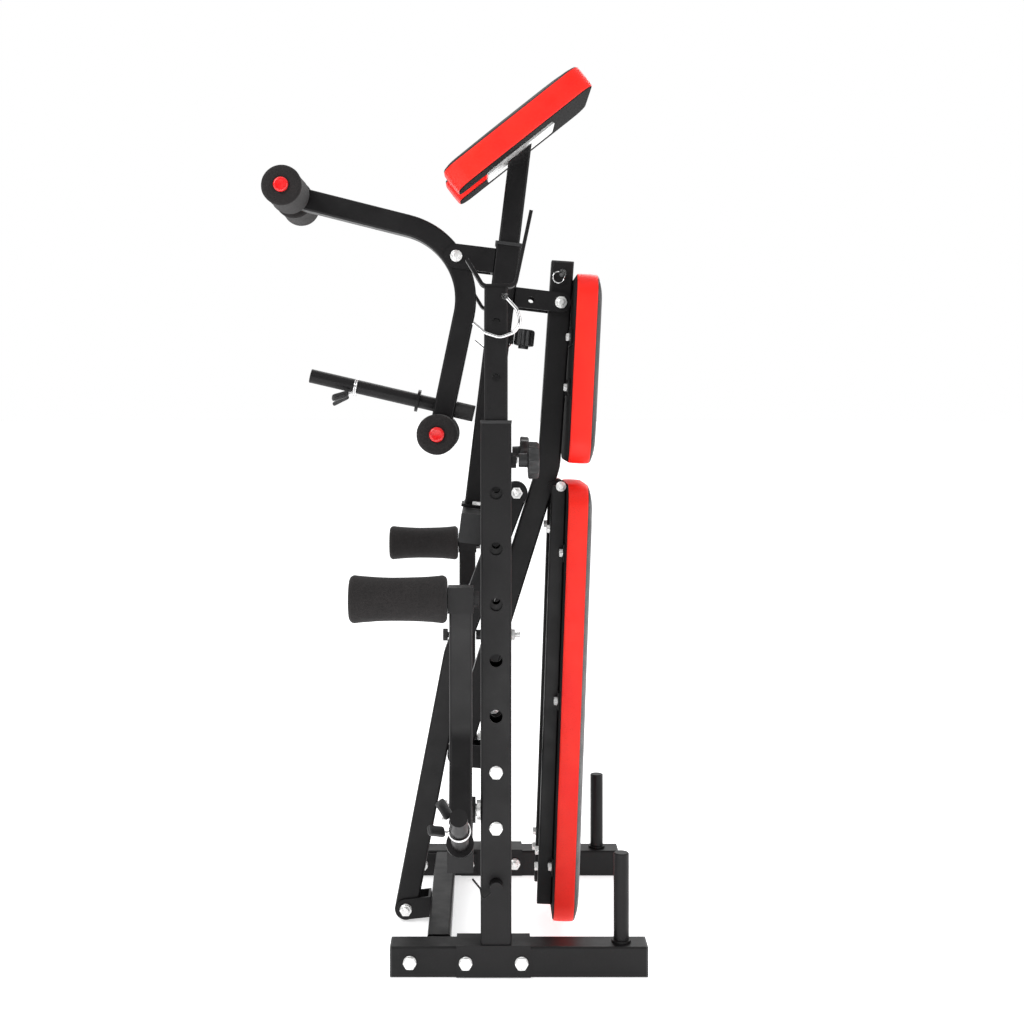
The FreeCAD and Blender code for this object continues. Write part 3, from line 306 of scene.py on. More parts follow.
def board_back():
    """Black bonded fabric over the plywood boards."""
    finish = Finish("board_back", (0.004, 0.004, 0.004), 0.88, Specular_IOR_Level=0.2)
    fibres = finish.noise(900.0, 5.0, 0.7, finish.warped(120.0, 0.004))
    tone = finish.span(fibres, 0.0, 1.0)
    finish.colour(finish.blend(tone, (0.003, 0.003, 0.003), (0.006, 0.0055, 0.0055)))
    finish.roughness(finish.span(fibres, 0.80, 0.95))
    finish.bump(fibres, 0.45, 0.2 * MM)
    return finish.material


def red_cap():
    finish = Finish("red_cap", (0.72, 0.008, 0.010), 0.22, Coat_Weight=0.4, Coat_Roughness=0.12)
    share = finish.span(finish.noise(60.0, 2.0), 0.0, 1.0)
    finish.colour(finish.blend(share, (0.66, 0.007, 0.009), (0.80, 0.010, 0.012)))
    finish.roughness(finish.span(finish.noise(220.0, 3.0), 0.18, 0.32))
    finish.bump(finish.noise(800.0, 2.0), 0.08, 0.05 * MM)
    return finish.material


def thread():
    finish = Finish("thread", (0.02, 0.02, 0.02), 0.65, Sheen_Weight=0.3)
    share = finish.span(finish.noise(2600.0, 2.0), 0.0, 1.0)
    finish.colour(finish.blend(share, (0.012, 0.012, 0.012), (0.05, 0.05, 0.05)))
    finish.bump(finish.noise(3000.0, 2.0), 0.4, 0.08 * MM)
    return finish.material


def pale_floor():
    finish = Finish("pale_floor", (0.90, 0.90, 0.91), 0.55, Specular_IOR_Level=0.25)
    share = finish.span(finish.noise(1.3, 3.0), 0.0, 1.0)
    finish.colour(finish.blend(share, (0.88, 0.88, 0.89), (0.92, 0.92, 0.93)))
    finish.set(finish.shader, "Emission Color", (1, 1, 1, 1))
    finish.set(finish.shader, "Emission Strength", 0.6)
    return finish.material


# ---------------------------------------------------------------- measuring the frame
def points_of(node):
    mesh = NODES[node].data
    flat = np.empty(len(mesh.vertices) * 3)
    mesh.vertices.foreach_get("co", flat)
    return flat.reshape(-1, 3)


def solids_of(node):
    """Vertices of each separate solid of a CAD node."""
    mesh = NODES[node].data
    points = points_of(node)
    keys, group = np.unique(np.round(points / (0.02 * MM)).astype(np.int64), axis=0, return_inverse=True)
    group = group.reshape(-1)
    parent = np.arange(len(keys))

    def root(k):
        while parent[k] != k:
            parent[k] = parent[parent[k]]
            k = parent[k]
        return k

    for edge in mesh.edges:
        a, b = root(group[edge.vertices[0]]), root(group[edge.vertices[1]])
        parent[a] = b
    labels = np.array([root(k) for k in group])
    return [points[labels == label] for label in dict.fromkeys(labels)]


def slab(points, axes=(0, 2)):
    """Tightest rectangle round the points in a plane: centre, long direction, short direction, half sizes."""
    flat = points[:, axes]
    best = None
    for near in (None, 0.005):
        guesses = np.linspace(0, math.pi, 721) if near is None else best[1] + np.linspace(-near, near, 201)
        for angle in guesses:
            u = np.array([math.cos(angle), math.sin(angle)])
            v = np.array([-u[1], u[0]])
            along, across = flat @ u, flat @ v
            area = np.ptp(along) * np.ptp(across)
            if best is None or area < best[0] - 1e-12:
                middle = u * (along.max() + along.min()) / 2 + v * (across.max() + across.min()) / 2
                best = (area, angle, middle, u, v, np.ptp(along) / 2, np.ptp(across) / 2)
    _, _, middle, u, v, half_u, half_v = best
    if half_v > half_u:
        u, v, half_u, half_v = v, u, half_v, half_u

    def lift(pair):
        full = np.zeros(3)
        full[list(axes)] = pair
        return Vector(full)

    return lift(middle), lift(u), lift(v), half_u, half_v


# ---------------------------------------------------------------- mesh building
def make(name, points, faces, materials, indices=None, body=None, replaced=(), smooth=SMOOTH):
    mesh = bpy.data.meshes.new(name)
    mesh.from_pydata([tuple(p) for p in points], [], faces)
    for material in materials:
        mesh.materials.append(material)
    if indices is not None:
        mesh.polygons.foreach_set("material_index", indices)
    mesh.validate()
    mesh.shade_smooth()
    if smooth:
        mesh.set_sharp_from_angle(angle=smooth)
    piece = bpy.data.objects.new(name, mesh)
    bpy.context.scene.collection.objects.link(piece)
    if body:
        settle(piece, body, replaced)
    return piece


def settle(piece, body, replaced=()):
    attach(piece, body)
    if replaced:
        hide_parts(*replaced)
    return piece


class Parts:
    """Collects several closed forms into the one mesh of a piece."""

    def __init__(self):
        self.points, self.faces, self.indices = [], [], []

    def add(self, points, faces, index=0):
        base = len(self.points)
        self.points.extend(Vector(p) for p in points)
        self.faces.extend(tuple(base + k for k in face) for face in faces)
        self.indices.extend([index] * len(faces))

    def turned(self, origin, axis, rings, count=48, index=0, closed=False):
        """Rings of (height, radius) round an axis; either may be a function of the angle."""
        axis = Vector(axis).normalized()
        side = axis.orthogonal().normalized()
        if abs(axis.dot(Vector((0, 0, 1)))) < 0.9:
            side = (Vector((0, 0, 1)) - axis * axis.z).normalized()
        other = axis.cross(side)
        points, faces = [], []
        for height, radius in rings:
            for k in range(count):
                angle = TAU * k / count
                h = height(angle) if callable(height) else height
                r = radius(angle) if callable(radius) else radius
                spoke = side * math.cos(angle) + other * math.sin(angle)
                points.append(Vector(origin) + axis * h + spoke * r)
        total = len(rings)
        spans = total if closed else total - 1
        for ring in range(spans):
            a, b = ring * count, ((ring + 1) % total) * count
            for k in range(count):
                n = (k + 1) % count
                faces.append((a + k, a + n, b + n, b + k))
        if not closed:
            faces.append(tuple(reversed(range(count))))
            faces.append(tuple((total - 1) * count + k for k in range(count)))
        self.add(points, faces, index)

    def wire(self, path, radius, index=0, count=12):
        """Round wire along a list of points, with parallel-carried rings and rounded ends."""
        path = [Vector(p) for p in path]
        total = len(path)
        last = total - 1
        tangents = [(path[min(k + 1, last)] - path[max(k - 1, 0)]).normalized() for k in range(total)]
        side = tangents[0].orthogonal().normalized()
        points, faces, rings = [], [], 0
        for k in range(total):
            side = (side - tangents[k] * side.dot(tangents[k])).normalized()
            other = tangents[k].cross(side)
            steps = [(0.0, radius)]
            if k == 0:
                steps = [(-0.55 * radius, 0.35 * radius), (-0.35 * radius, 0.8 * radius)] + steps
            if k == last:
                steps = steps + [(0.35 * radius, 0.8 * radius), (0.55 * radius, 0.35 * radius)]
            for shift, size in steps:
                for j in range(count):
                    angle = TAU * j / count
                    spoke = (side * math.cos(angle) + other * math.sin(angle)) * size
                    points.append(path[k] + tangents[k] * shift + spoke)
                rings += 1
        for ring in range(rings - 1):
            a, b = ring * count, (ring + 1) * count
            for j in range(count):
                n = (j + 1) % count
                faces.append((a + j, a + n, b + n, b + j))
        faces.append(tuple(reversed(range(count))))
        faces.append(tuple((rings - 1) * count + j for j in range(count)))
        self.add(points, faces, index)

    def piece(self, name, materials, body, slot, replaced=(), smooth=SMOOTH):
        return make(name, self.points, self.faces, materials, self.indices, body, replaced, smooth)


def eased(points, steps=6, share=0.5):
    """A smooth line near a list of corners: each corner becomes a short curve."""
    points = [Vector(p) for p in points]
    line = [points[0]]
    for before, corner, after in zip(points, points[1:], points[2:]):
        reach = share * min((corner - before).length, (after - corner).length)
        start = corner + (before - corner).normalized() * reach
        end = corner + (after - corner).normalized() * reach
        for k in range(steps + 1):
            t = k / steps
            line.append(start * (1 - t) ** 2 + corner * (2 * t * (1 - t)) + end * t ** 2)
    line.append(points[-1])
    return line


# ---------------------------------------------------------------- upholstery
EDGE_STEP = 7 * MM              # spacing of the outline's points on straight runs
ARC_STEP = 5 * MM               # and on arcs
SAME = 0.5 * MM                 # points closer than this are one
GRID = 9 * MM                   # spacing of the points inside a panel
SWELL = 1.3 * MM                # how far the cover starts inside its CAD solid
SEAM_DROP = 6.0 * MM            # seam below the face panel's top
SEAM_RING = 3                   # ring of the face panel that dips under the stitches
TUCK = 3.7 * MM                 # how far the side band turns in round the board
BACK_LEVEL = 10.2 * MM          # the cover's back rests just above the 10 mm board
PUFF = 4.0 * MM                 # the furthest that inflating moves a point
PRESSURE = 4.0
CLOTH_FRAMES = 20


def outline(half_u, half_v, corner, notch=None):
    """Closed rounded outline as (point, outward) pairs; a notch is (depth, half width, lip radius)."""
    stops = [((-half_u, -half_v), corner), ((half_u, -half_v), corner), ((half_u, half_v), corner),
             ((-half_u, half_v), corner)]
    if notch:
        depth, half, lip = notch
        stops += [((-half_u, half), lip), ((-half_u + depth, half), half), ((-half_u + depth, -half), half),
                  ((-half_u, -half), lip)]
    line = []
    total = len(stops)
    for k in range(total):
        spot, radius = Vector(stops[k][0]), stops[k][1]
        back = (Vector(stops[k - 1][0]) - spot).normalized()
        onward = (Vector(stops[(k + 1) % total][0]) - spot).normalized()
        hub = spot + (back + onward) * radius
        turn = 1 if back.x * onward.y - back.y * onward.x < 0 else -1
        steps = max(4, math.ceil(radius * math.pi / 2 / ARC_STEP))
        for j in range(steps + 1):
            angle = math.pi / 2 * j / steps
            spoke = -onward * math.cos(angle) - back * math.sin(angle)
            line.append((hub + spoke * radius, spoke * turn))
        after, reach = Vector(stops[(k + 1) % total][0]), stops[(k + 1) % total][1]
        start, end = spot + onward * radius, after - onward * reach
        pieces = round((end - start).length / EDGE_STEP)
        for j in range(1, pieces):
            line.append((start.lerp(end, j / pieces), Vector((onward.y, -onward.x))))
    clean = [line[0]]
    for point, out in line[1:]:
        if (point - clean[-1][0]).length > SAME:
            clean.append((point, out))
    return clean


def depth_inside(point, line):
    """Distance from a point to a closed line, negative outside it."""
    inside, least = False, 1.0
    for (a, _), (b, _) in zip(line, line[1:] + line[:1]):
        if (a.y > point.y) != (b.y > point.y):
            if point.x < a.x + (point.y - a.y) * (b.x - a.x) / (b.y - a.y):
                inside = not inside
        share = max(0.0, min(1.0, (point - a).dot(b - a) / max((b - a).length_squared, 1e-12)))
        least = min(least, (point - a.lerp(b, share)).length)
    return least if inside else -least


def filling(rim, inner):
    """Faces over a closed rim and loose points inside it: quads where the points form a grid."""
    flat = [Vector(p) for p in rim] + [Vector(p) for p in inner]
    corners, _, faces, origin, _, _ = delaunay_2d_cdt(flat, [], [list(range(len(rim)))], 1, 1e-7)
    shape = bmesh.new()
    for point in corners:
        shape.verts.new((point.x, point.y, 0))
    shape.verts.ensure_lookup_table()
    for face in faces:
        shape.faces.new([shape.verts[k] for k in face])
    bmesh.ops.join_triangles(shape, faces=shape.faces[:], angle_face_threshold=1.0, angle_shape_threshold=0.6)
    shape.verts.index_update()
    found = [[origin[vertex.index][0] for vertex in face.verts] for face in shape.faces]
    shape.free()
    return found


def inflate(piece, held):
    """Blow the cover up by cloth simulation; held points stay, and no point moves further than PUFF."""
    group = piece.vertex_groups.new(name="held")
    group.add(held, 1.0, "REPLACE")
    rest = np.array([v.co for v in piece.data.vertices])
    cloth = piece.modifiers.new("cloth", "CLOTH")
    settings = cloth.settings
    settings.quality = 6
    settings.mass = 0.25
    settings.tension_stiffness = 22
    settings.compression_stiffness = 22
    settings.shear_stiffness = 10
    settings.bending_stiffness = 1.2
    settings.use_pressure = True
    settings.uniform_pressure_force = PRESSURE
    settings.vertex_group_mass = "held"
    settings.effector_weights.gravity = 0
    cloth.collision_settings.use_collision = False
    scene = bpy.context.scene
    scene.frame_start, scene.frame_end = 1, CLOTH_FRAMES
    cloth.point_cache.frame_start, cloth.point_cache.frame_end = 1, CLOTH_FRAMES
    for step in range(1, CLOTH_FRAMES + 1):
        scene.frame_set(step)
    blown = piece.evaluated_get(bpy.context.evaluated_depsgraph_get()).to_mesh()
    moved = np.array([v.co for v in blown.vertices]) - rest
    piece.modifiers.remove(cloth)
    scene.frame_set(1)
    length = np.linalg.norm(moved, axis=1)
    easing = np.tanh(length / PUFF) * PUFF / np.maximum(length, 1e-9)
    final = rest + moved * easing[:, None]
    piece.data.vertices.foreach_set("co", final.ravel())
    piece.data.update()
    piece.vertex_groups.clear()
    print("inflated", piece.name, "largest move", round(float(length.max()) * 1000, 1), "mm")


def stitches(name, line, normals, pitch, length, radius, body):
    """Thread laid in short stitches along a closed line on the cover."""
    parts = Parts()
    line = [Vector(p) for p in line]
    total = len(line)
    gaps = [(line[(k + 1) % total] - line[k]).length for k in range(total)]
    whole = sum(gaps)
    count = round(whole / pitch)
    ends = np.cumsum([0.0] + gaps)

    def spot(distance):
        distance %= whole
        k = min(int(np.searchsorted(ends, distance, "right")) - 1, total - 1)
        share = (distance - ends[k]) / max(gaps[k], 1e-9)
        n = (k + 1) % total
        return line[k].lerp(line[n], share), normals[k].lerp(normals[n], share).normalized()

    for k in range(count):
        start = k * whole / count
        path = []
        for share in (0.0, 0.3, 0.7, 1.0):
            point, normal = spot(start + length * share)
            path.append(point + normal * (radius * (-0.7 if share in (0.0, 1.0) else 0.55)))
        parts.wire(path, radius, count=6)
    return parts.piece(name, [THREAD], body, "upholstery", smooth=None)


def pad(name, body, board, corner, notch=None):
    """Cover of one cushion, built round its board: red side band, black face panel, seam between."""
    block, base = points_of(name), points_of(board)
    centre, along, normal, _, _ = slab(base)
    if along.z < 0:
        along = -along
    across = Vector((0, 1, 0))
    middle = Vector(((block.min(0) + block.max(0)) / 2).tolist())
    if (middle - centre).dot(normal) < 0:
        normal = -normal
    depths, runs = base @ np.array(normal), block @ np.array(along)
    origin = centre + normal * (depths.min() - centre.dot(normal))
    thick = (block @ np.array(normal)).max() - depths.min()
    half_u = np.ptp(runs) / 2
    half_v = np.ptp(block[:, 1]) / 2
    rims = [0.0, 1.3 * MM, 3.4 * MM, 6.0 * MM, 9.5 * MM]
    rises = [0.0, 2.5 * MM, 3.7 * MM, 3.4 * MM, 4.6 * MM]
    crown_at, crown = [rims[-1], 18 * MM, 34 * MM, 60 * MM], [rises[-1], 5.8 * MM, 6.9 * MM, 7.4 * MM]
    seam = thick - SEAM_DROP
    edge = outline(half_u, half_v, corner, notch)
    total = len(edge)
    loose = []
    for i in range(-round(half_u / GRID), round(half_u / GRID) + 1):
        for j in range(-round(half_v / GRID), round(half_v / GRID) + 1):
            spot = Vector((i * GRID, j * GRID))
            inset = depth_inside(spot, edge)
            if inset > rims[-1] + 0.55 * GRID:
                loose.append((spot, inset))

    def world(flat, w):
        return origin + along * flat.x + across * flat.y + normal * w

    points, faces, indices = [], [], []

    def ring(offset, w):
        start = len(points)
        points.extend(world(spot + out * offset, w) for spot, out in edge)
        return list(range(start, start + total))

    def join(a, b, index):
        for k in range(total):
            n = (k + 1) % total
            faces.append((a[k], b[k], b[n], a[n]))
            indices.append(index)

    def close(rim, rim_flat, inner, index):
        numbers = rim + inner
        for face in filling(rim_flat, [spot for spot, _ in loose]):
            faces.append(tuple(numbers[k] for k in face))
            indices.append(index)

    rings = [ring(-SWELL - inset, seam + rise) for inset, rise in zip(rims, rises)]
    for a, b in zip(rings, rings[1:]):
        join(a, b, 1)
    inner = []
    for spot, inset in loose:
        inner.append(len(points))
        points.append(world(spot, seam + float(np.interp(inset, crown_at, crown))))
    close(rings[-1], [spot - out * (SWELL + rims[-1]) for spot, out in edge], inner, 1)
    held = set(rings[0])
    band = [0.965, 0.90, 0.80, 0.68, 0.55, 0.42, 0.30, 0.19, 0.11, 0.055]
    sides = [(share * seam, SWELL * (-0.75 + 0.75 * math.sin(math.pi * share) ** 0.6)) for share in band]
    sides += [(1.1 * MM, -1.9 * MM), (0.25 * MM, -TUCK + 0.5 * MM), (0.25 * MM, -TUCK), (BACK_LEVEL, -TUCK)]
    previous = rings[0]
    for level, (depth, offset) in enumerate(sides):
        current = ring(offset, depth)
        join(previous, current, 0 if level <= len(band) else 2)
        if level >= len(band) - 1:
            held.update(current)
        previous = current
    inner = []
    for spot, _ in loose:
        inner.append(len(points))
        points.append(world(spot, BACK_LEVEL))
    held.update(inner)
    close(previous, [spot - out * TUCK for spot, out in edge], inner, 2)
    materials = [RED_VINYL, BLACK_VINYL, BOARD_BACK]
    cover = make(name + "_cover", points, faces, materials, indices, smooth=None)
    shape = bmesh.new()
    shape.from_mesh(cover.data)
    bmesh.ops.recalc_face_normals(shape, faces=shape.faces)
    shape.to_mesh(cover.data)
    shape.free()
    inflate(cover, sorted(held))
    for vertex in rings[SEAM_RING]:
        cover.data.vertices[vertex].co -= normal * (0.7 * MM)
    thread_line = [cover.data.vertices[v].co.copy() for v in rings[SEAM_RING]]
    subdivide = cover.modifiers.new("fine", "SUBSURF")
    subdivide.levels = subdivide.render_levels = 1
    apply_modifiers(cover)
    cover.data.shade_smooth()
    settle(cover, body, [name])
    stitches(name + "_stitches", thread_line, [normal] * total, 5.5 * MM, 3.6 * MM, 0.42 * MM, body)


def apply_modifiers(piece):
    shaped = bpy.data.meshes.new_from_object(
        piece.evaluated_get(bpy.context.evaluated_depsgraph_get()), preserve_all_data_layers=True,
        depsgraph=bpy.context.evaluated_depsgraph_get())
    piece.modifiers.clear()
    old = piece.data
    piece.data = shaped
    bpy.data.meshes.remove(old)


# ---------------------------------------------------------------- foam sleeves
def foam_sleeve(parts, start, end, radius, waist, bore, shut_start=False, seed=0.0):
    """Sleeve from start to end with rolled rims and a faintly uneven skin."""
    axis = (end - start).normalized()
    length = (end - start).length
    count = 72
    roll = 8 * MM
    rings = [(0.0, 2.5 * MM if shut_start else bore), (0.2 * MM, radius * 0.52)]
    for k in range(8):
        angle = math.pi / 2 * (7 - k) / 7
        rings.append((roll * (1 - math.sin(angle)), radius - roll * (1 - math.cos(angle))))
    for k in range(1, 30):
        share = k / 30
        rings.append((roll + (length - 2 * roll) * share, radius - waist * math.sin(math.pi * share) ** 0.8))
    rings += [(length - h, r) for h, r in reversed(rings[2:10])]
    rings += [(length - 0.2 * MM, radius * 0.52), (length, bore)]

    def uneven(h, r):
        def radius_at(angle):
            wave = noise.noise(Vector((math.cos(angle) * 1.6 + seed, math.sin(angle) * 1.6, h * 28)))
            fine = noise.noise(Vector((math.cos(angle) * 5 + seed, math.sin(angle) * 5, h * 120)))
            return r * (1 + 0.011 * wave + 0.003 * fine)
        return radius_at

    shaped = [(h, uneven(h, r) if r > bore * 1.5 else r) for h, r in rings]
    parts.turned(start, axis, shaped, count, closed=not shut_start)


def roller_foams(node, body):
    low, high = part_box(node)
    middle = (low + high) / 2
    radius = (high.z - low.z) / 2
    outer = high.y
    inner = min(abs(p[1]) for p in points_of(node))
    parts = Parts()
    for side in SIDES.values():
        start = Vector((middle.x, side * inner, middle.z))
        end = Vector((middle.x, side * outer, middle.z))
        foam_sleeve(parts, start, end, radius, 1.2 * MM, 8.3 * MM, seed=side * 3.0 + middle.x)
    piece = parts.piece(node.replace("foams", "sleeves"), [FOAM], body, "foam", [node], None)


def arm_foam(node, body):
    low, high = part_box(node)
    middle = (low + high) / 2
    parts = Parts()
    start, end = Vector((low.x, middle.y, middle.z)), Vector((high.x, middle.y, middle.z))
    foam_sleeve(parts, start, end, (high.z - low.z) / 2, 3.6 * MM, 8.3 * MM, True, seed=middle.y * 7)
    piece = parts.piece(node + "_sleeve", [FOAM], body, "foam", [node], None)


# ---------------------------------------------------------------- fasteners
def hex_radius(across):
    def radius(angle):
        sixth = math.pi / 3
        return across / 2 / math.cos((angle + sixth / 2) % sixth - sixth / 2)
    return radius


def hex_end(parts, seat, out, across, height, stud, washer):
    """Washer and chamfered hexagon standing on seat; with a stud it is a lock nut, else a bolt head."""
    flat = hex_radius(across)
    lip = 1.7 * MM if washer else 0.0
    if washer:
        w = across * 0.56
        parts.turned(seat, out, [(0, w * 0.55), (0, w - 0.3 * MM), (0.3 * MM, w), (lip - 0.3 * MM, w),
                                 (lip, w - 0.3 * MM), (lip, w * 0.55)], 48)
    top = height
    turn = across * 0.485
    rings = [(lip, lambda a: flat(a) * 0.9), (lip, flat),
             (lambda a: top - max(0.0, flat(a) - turn) * 0.62 - 0.15 * MM, flat),
             (top, lambda a: min(flat(a), turn) - 0.25 * MM)]
    if stud:
        crown = across * 0.40
        rings += [(top, crown), (top + 1.3 * MM, crown - 0.3 * MM), (top + 1.7 * MM, crown - 1.1 * MM),
                  (top + 1.6 * MM, stud * 1.16), (top + 0.5 * MM, stud * 1.08), (top + 0.5 * MM, stud)]
        for k in range(3):
            rings += [(top + (0.9 + 0.9 * k) * MM, stud * 0.90), (top + (1.35 + 0.9 * k) * MM, stud)]
        rings += [(top + 3.9 * MM, stud * 0.78), (top + 3.9 * MM, stud * 0.3)]
    else:
        rings += [(top, across * 0.40), (top - 0.35 * MM, across * 0.37), (top - 0.35 * MM, across * 0.12)]
    parts.turned(seat, out, rings, 60)


def away(centre, axis):
    """Lone hexagons face away from the middle plane, the cushions or the stabiliser."""
    if abs(axis.y) > 0.9:
        return 1 if centre.y > 0 else -1
    if abs(axis.z) > 0.9:
        return 1
    return -1


def fasteners(node, body):
    """Detailed bolts, nuts and washers where a node's plain hexagons are."""
    parts = Parts()
    for solid in solids_of(node):
        centre = (solid.min(0) + solid.max(0)) / 2
        values, vectors = np.linalg.eigh(np.cov((solid - solid.mean(0)).T))
        lone = 2 if values[2] - values[1] > values[1] - values[0] else 0
        axis = vectors[:, lone]
        if axis[np.argmax(np.abs(axis))] < 0:
            axis = -axis
        heights = solid @ axis
        radial = np.linalg.norm(solid - np.outer(heights, axis)
                                - (centre - axis * (centre @ axis)), axis=1)
        corner = radial.max()
        across = corner * math.sqrt(3)
        levels = sorted(set(np.round(heights[radial > 0.97 * corner], 5)))
        base = centre - axis * (centre @ axis)
        inner = radial[radial < 0.8 * corner]
        shank = inner.max() if len(inner) else 0.0
        pairs = [(levels[0], levels[1])]
        if len(levels) > 3:
            pairs.append((levels[-2], levels[-1]))
        ends = []
        for low, high in pairs:
            if len(pairs) == 2:
                direction = -1 if low == levels[0] else 1
            elif shank:
                direction = 1 if heights.max() - high > low - heights.min() + MM else -1
                if heights.max() - high < 0.5 * MM:
                    direction = 1
            else:
                direction = away(Vector(centre), Vector(axis))
            seat = low if direction > 0 else high
            ends.append((seat, direction, high - low))
        for seat, direction, height in ends:
            spot = Vector(base + axis * seat)
            out = Vector(axis * direction)
            toward = direction * axis[1]
            nut = len(ends) == 2 and (toward if abs(centre[1]) < 0.1 else toward * centre[1]) < 0
            stud = shank * 0.98 if nut and shank else 0.0
            hex_end(parts, spot, out, across, height, stud, height > 5.5 * MM)
        if shank:
            low, high = heights.min() + 0.5 * MM, heights.max() - 0.5 * MM
            if len(ends) == 2:
                low, high = ends[0][0], ends[1][0]
            parts.turned(Vector(base), Vector(axis), [(low, shank * 0.8), (low + 0.6 * MM, shank),
                                                      (high - 0.6 * MM, shank), (high, shank * 0.8)], 32)
    parts.piece(node + "_detailed", [ZINC], body, "bright_zinc", [node], math.radians(28))


# ---------------------------------------------------------------- knobs and spring collars
PITCH = 1.5                     # of the knobs' screws, in mm
SPREAD = 30                     # a collar's tails stand this many degrees either side of its grip
TAIL_LEAN = math.radians(50)    # and lean this far along the peg


def screw_rings(start, turns):
    """Crests and roots of a screw of 10 mm that starts at a height."""
    rings = [(start, 3.6 * MM)]
    for k in range(turns):
        rings += [(start + (k + 0.5) * PITCH * MM, 5.0 * MM), (start + (k + 1) * PITCH * MM, 4.4 * MM)]
    return rings


def star_knob(node, body):
    """Eight-lobed clamping knob on its screw."""
    low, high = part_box(node)
    centre = Vector((low.x, (low.y + high.y) / 2, (low.z + high.z) / 2))
    ahead = Vector((1, 0, 0))
    reach = (high.z - low.z) / 2
    length = high.x - low.x
    wheel = length - 18 * MM

    def lobed(size, depth):
        return lambda angle: size * (1 - depth * (0.5 - 0.5 * math.cos(8 * angle)) ** 0.8)

    parts = Parts()
    rings = [(wheel - 15 * MM, 9 * MM), (wheel - 15 * MM, 11 * MM), (wheel - 1 * MM, 11.5 * MM),
             (wheel, 13 * MM), (wheel, lobed(reach - 4 * MM, 0.12)),
             (wheel + 0.8 * MM, lobed(reach - 1.2 * MM, 0.15)),
             (wheel + 3 * MM, lobed(reach, 0.17)), (wheel + 15 * MM, lobed(reach - 0.6 * MM, 0.17)),
             (wheel + 17.4 * MM, lobed(reach - 3 * MM, 0.15)), (wheel + 18 * MM, lobed(reach - 6 * MM, 0.10)),
             (wheel + 16.4 * MM, 14 * MM), (wheel + 16.4 * MM, 10 * MM), (wheel + 17.4 * MM, 9 * MM),
             (wheel + 17.6 * MM, 4 * MM)]
    parts.turned(centre, ahead, rings, 96, 0)
    turns = int((wheel - 16 * MM) / (PITCH * MM))
    parts.turned(centre, ahead, screw_rings(0.0, turns)[:-1], 24, 1)
    parts.piece(node + "_star", [PLASTIC, ZINC], body, "black_plastic", [node], math.radians(40))


def ribbed_knob(node, body, axis):
    """Barrel knob with grip ribs that clamps the preacher post."""
    points = points_of(node)
    heights = points @ np.array(axis)
    radial = points - np.outer(heights, np.array(axis))
    middle = (radial.min(0) + radial.max(0)) / 2
    base = Vector(middle.tolist())
    low, high = heights.min(), heights.max()
    reach = 18.4 * MM
    body_low = high - 30 * MM

    def ribs(size, depth):
        return lambda angle: size - depth * (0.5 - 0.5 * math.cos(10 * angle)) ** 1.6

    parts = Parts()
    neck = body_low - 5 * MM
    rings = [(neck, 7 * MM), (neck, 9 * MM), (body_low, 9.4 * MM), (body_low, 13 * MM),
             (body_low + 1 * MM, ribs(reach - 1.5 * MM, 1.4 * MM)),
             (body_low + 3 * MM, ribs(reach, 2.4 * MM)), (high - 4 * MM, ribs(reach - 0.4 * MM, 2.4 * MM)),
             (high - 1.4 * MM, ribs(reach - 1.6 * MM, 1.8 * MM)), (high, ribs(reach - 4 * MM, 0.6 * MM)),
             (high, 9 * MM), (high - 1 * MM, 8 * MM), (high - 1 * MM, 3 * MM)]
    parts.turned(base, axis, rings, 120, 0)
    parts.turned(base, axis, screw_rings(low, int((neck - low) / (PITCH * MM))), 24, 1)
    parts.piece(node + "_ribbed", [PLASTIC, ZINC], body, "black_plastic", [node], math.radians(40))


def paddle(parts, start, run, wide, index):
    """Flat rounded grip, 30 mm long, on the end of a collar's tail."""
    thin = run.cross(wide).normalized()
    count = 32
    points, faces = [], []
    stations = [(-1.2, 0.30), (-0.8, 0.62), (0.2, 0.86), (2.0, 0.97), (5.0, 1.0), (14.0, 0.96), (24.0, 1.0),
                (28.0, 0.97), (30.0, 0.86), (30.8, 0.62), (31.1, 0.30)]
    for along, size in stations:
        for k in range(count):
            angle = TAU * k / count
            c, s = math.cos(angle), math.sin(angle)
            x = math.copysign(abs(c) ** 0.55, c) * 7.5 * MM * size
            y = math.copysign(abs(s) ** 0.7, s) * 3.5 * MM * size
            points.append(start + run * (along * MM) + wide * x + thin * y)
    for row in range(len(stations) - 1):
        for k in range(count):
            n = (k + 1) % count
            faces.append((row * count + k, row * count + n, (row + 1) * count + n, (row + 1) * count + k))
    faces.append(tuple(reversed(range(count))))
    faces.append(tuple((len(stations) - 1) * count + k for k in range(count)))
    parts.add(points, faces, index)


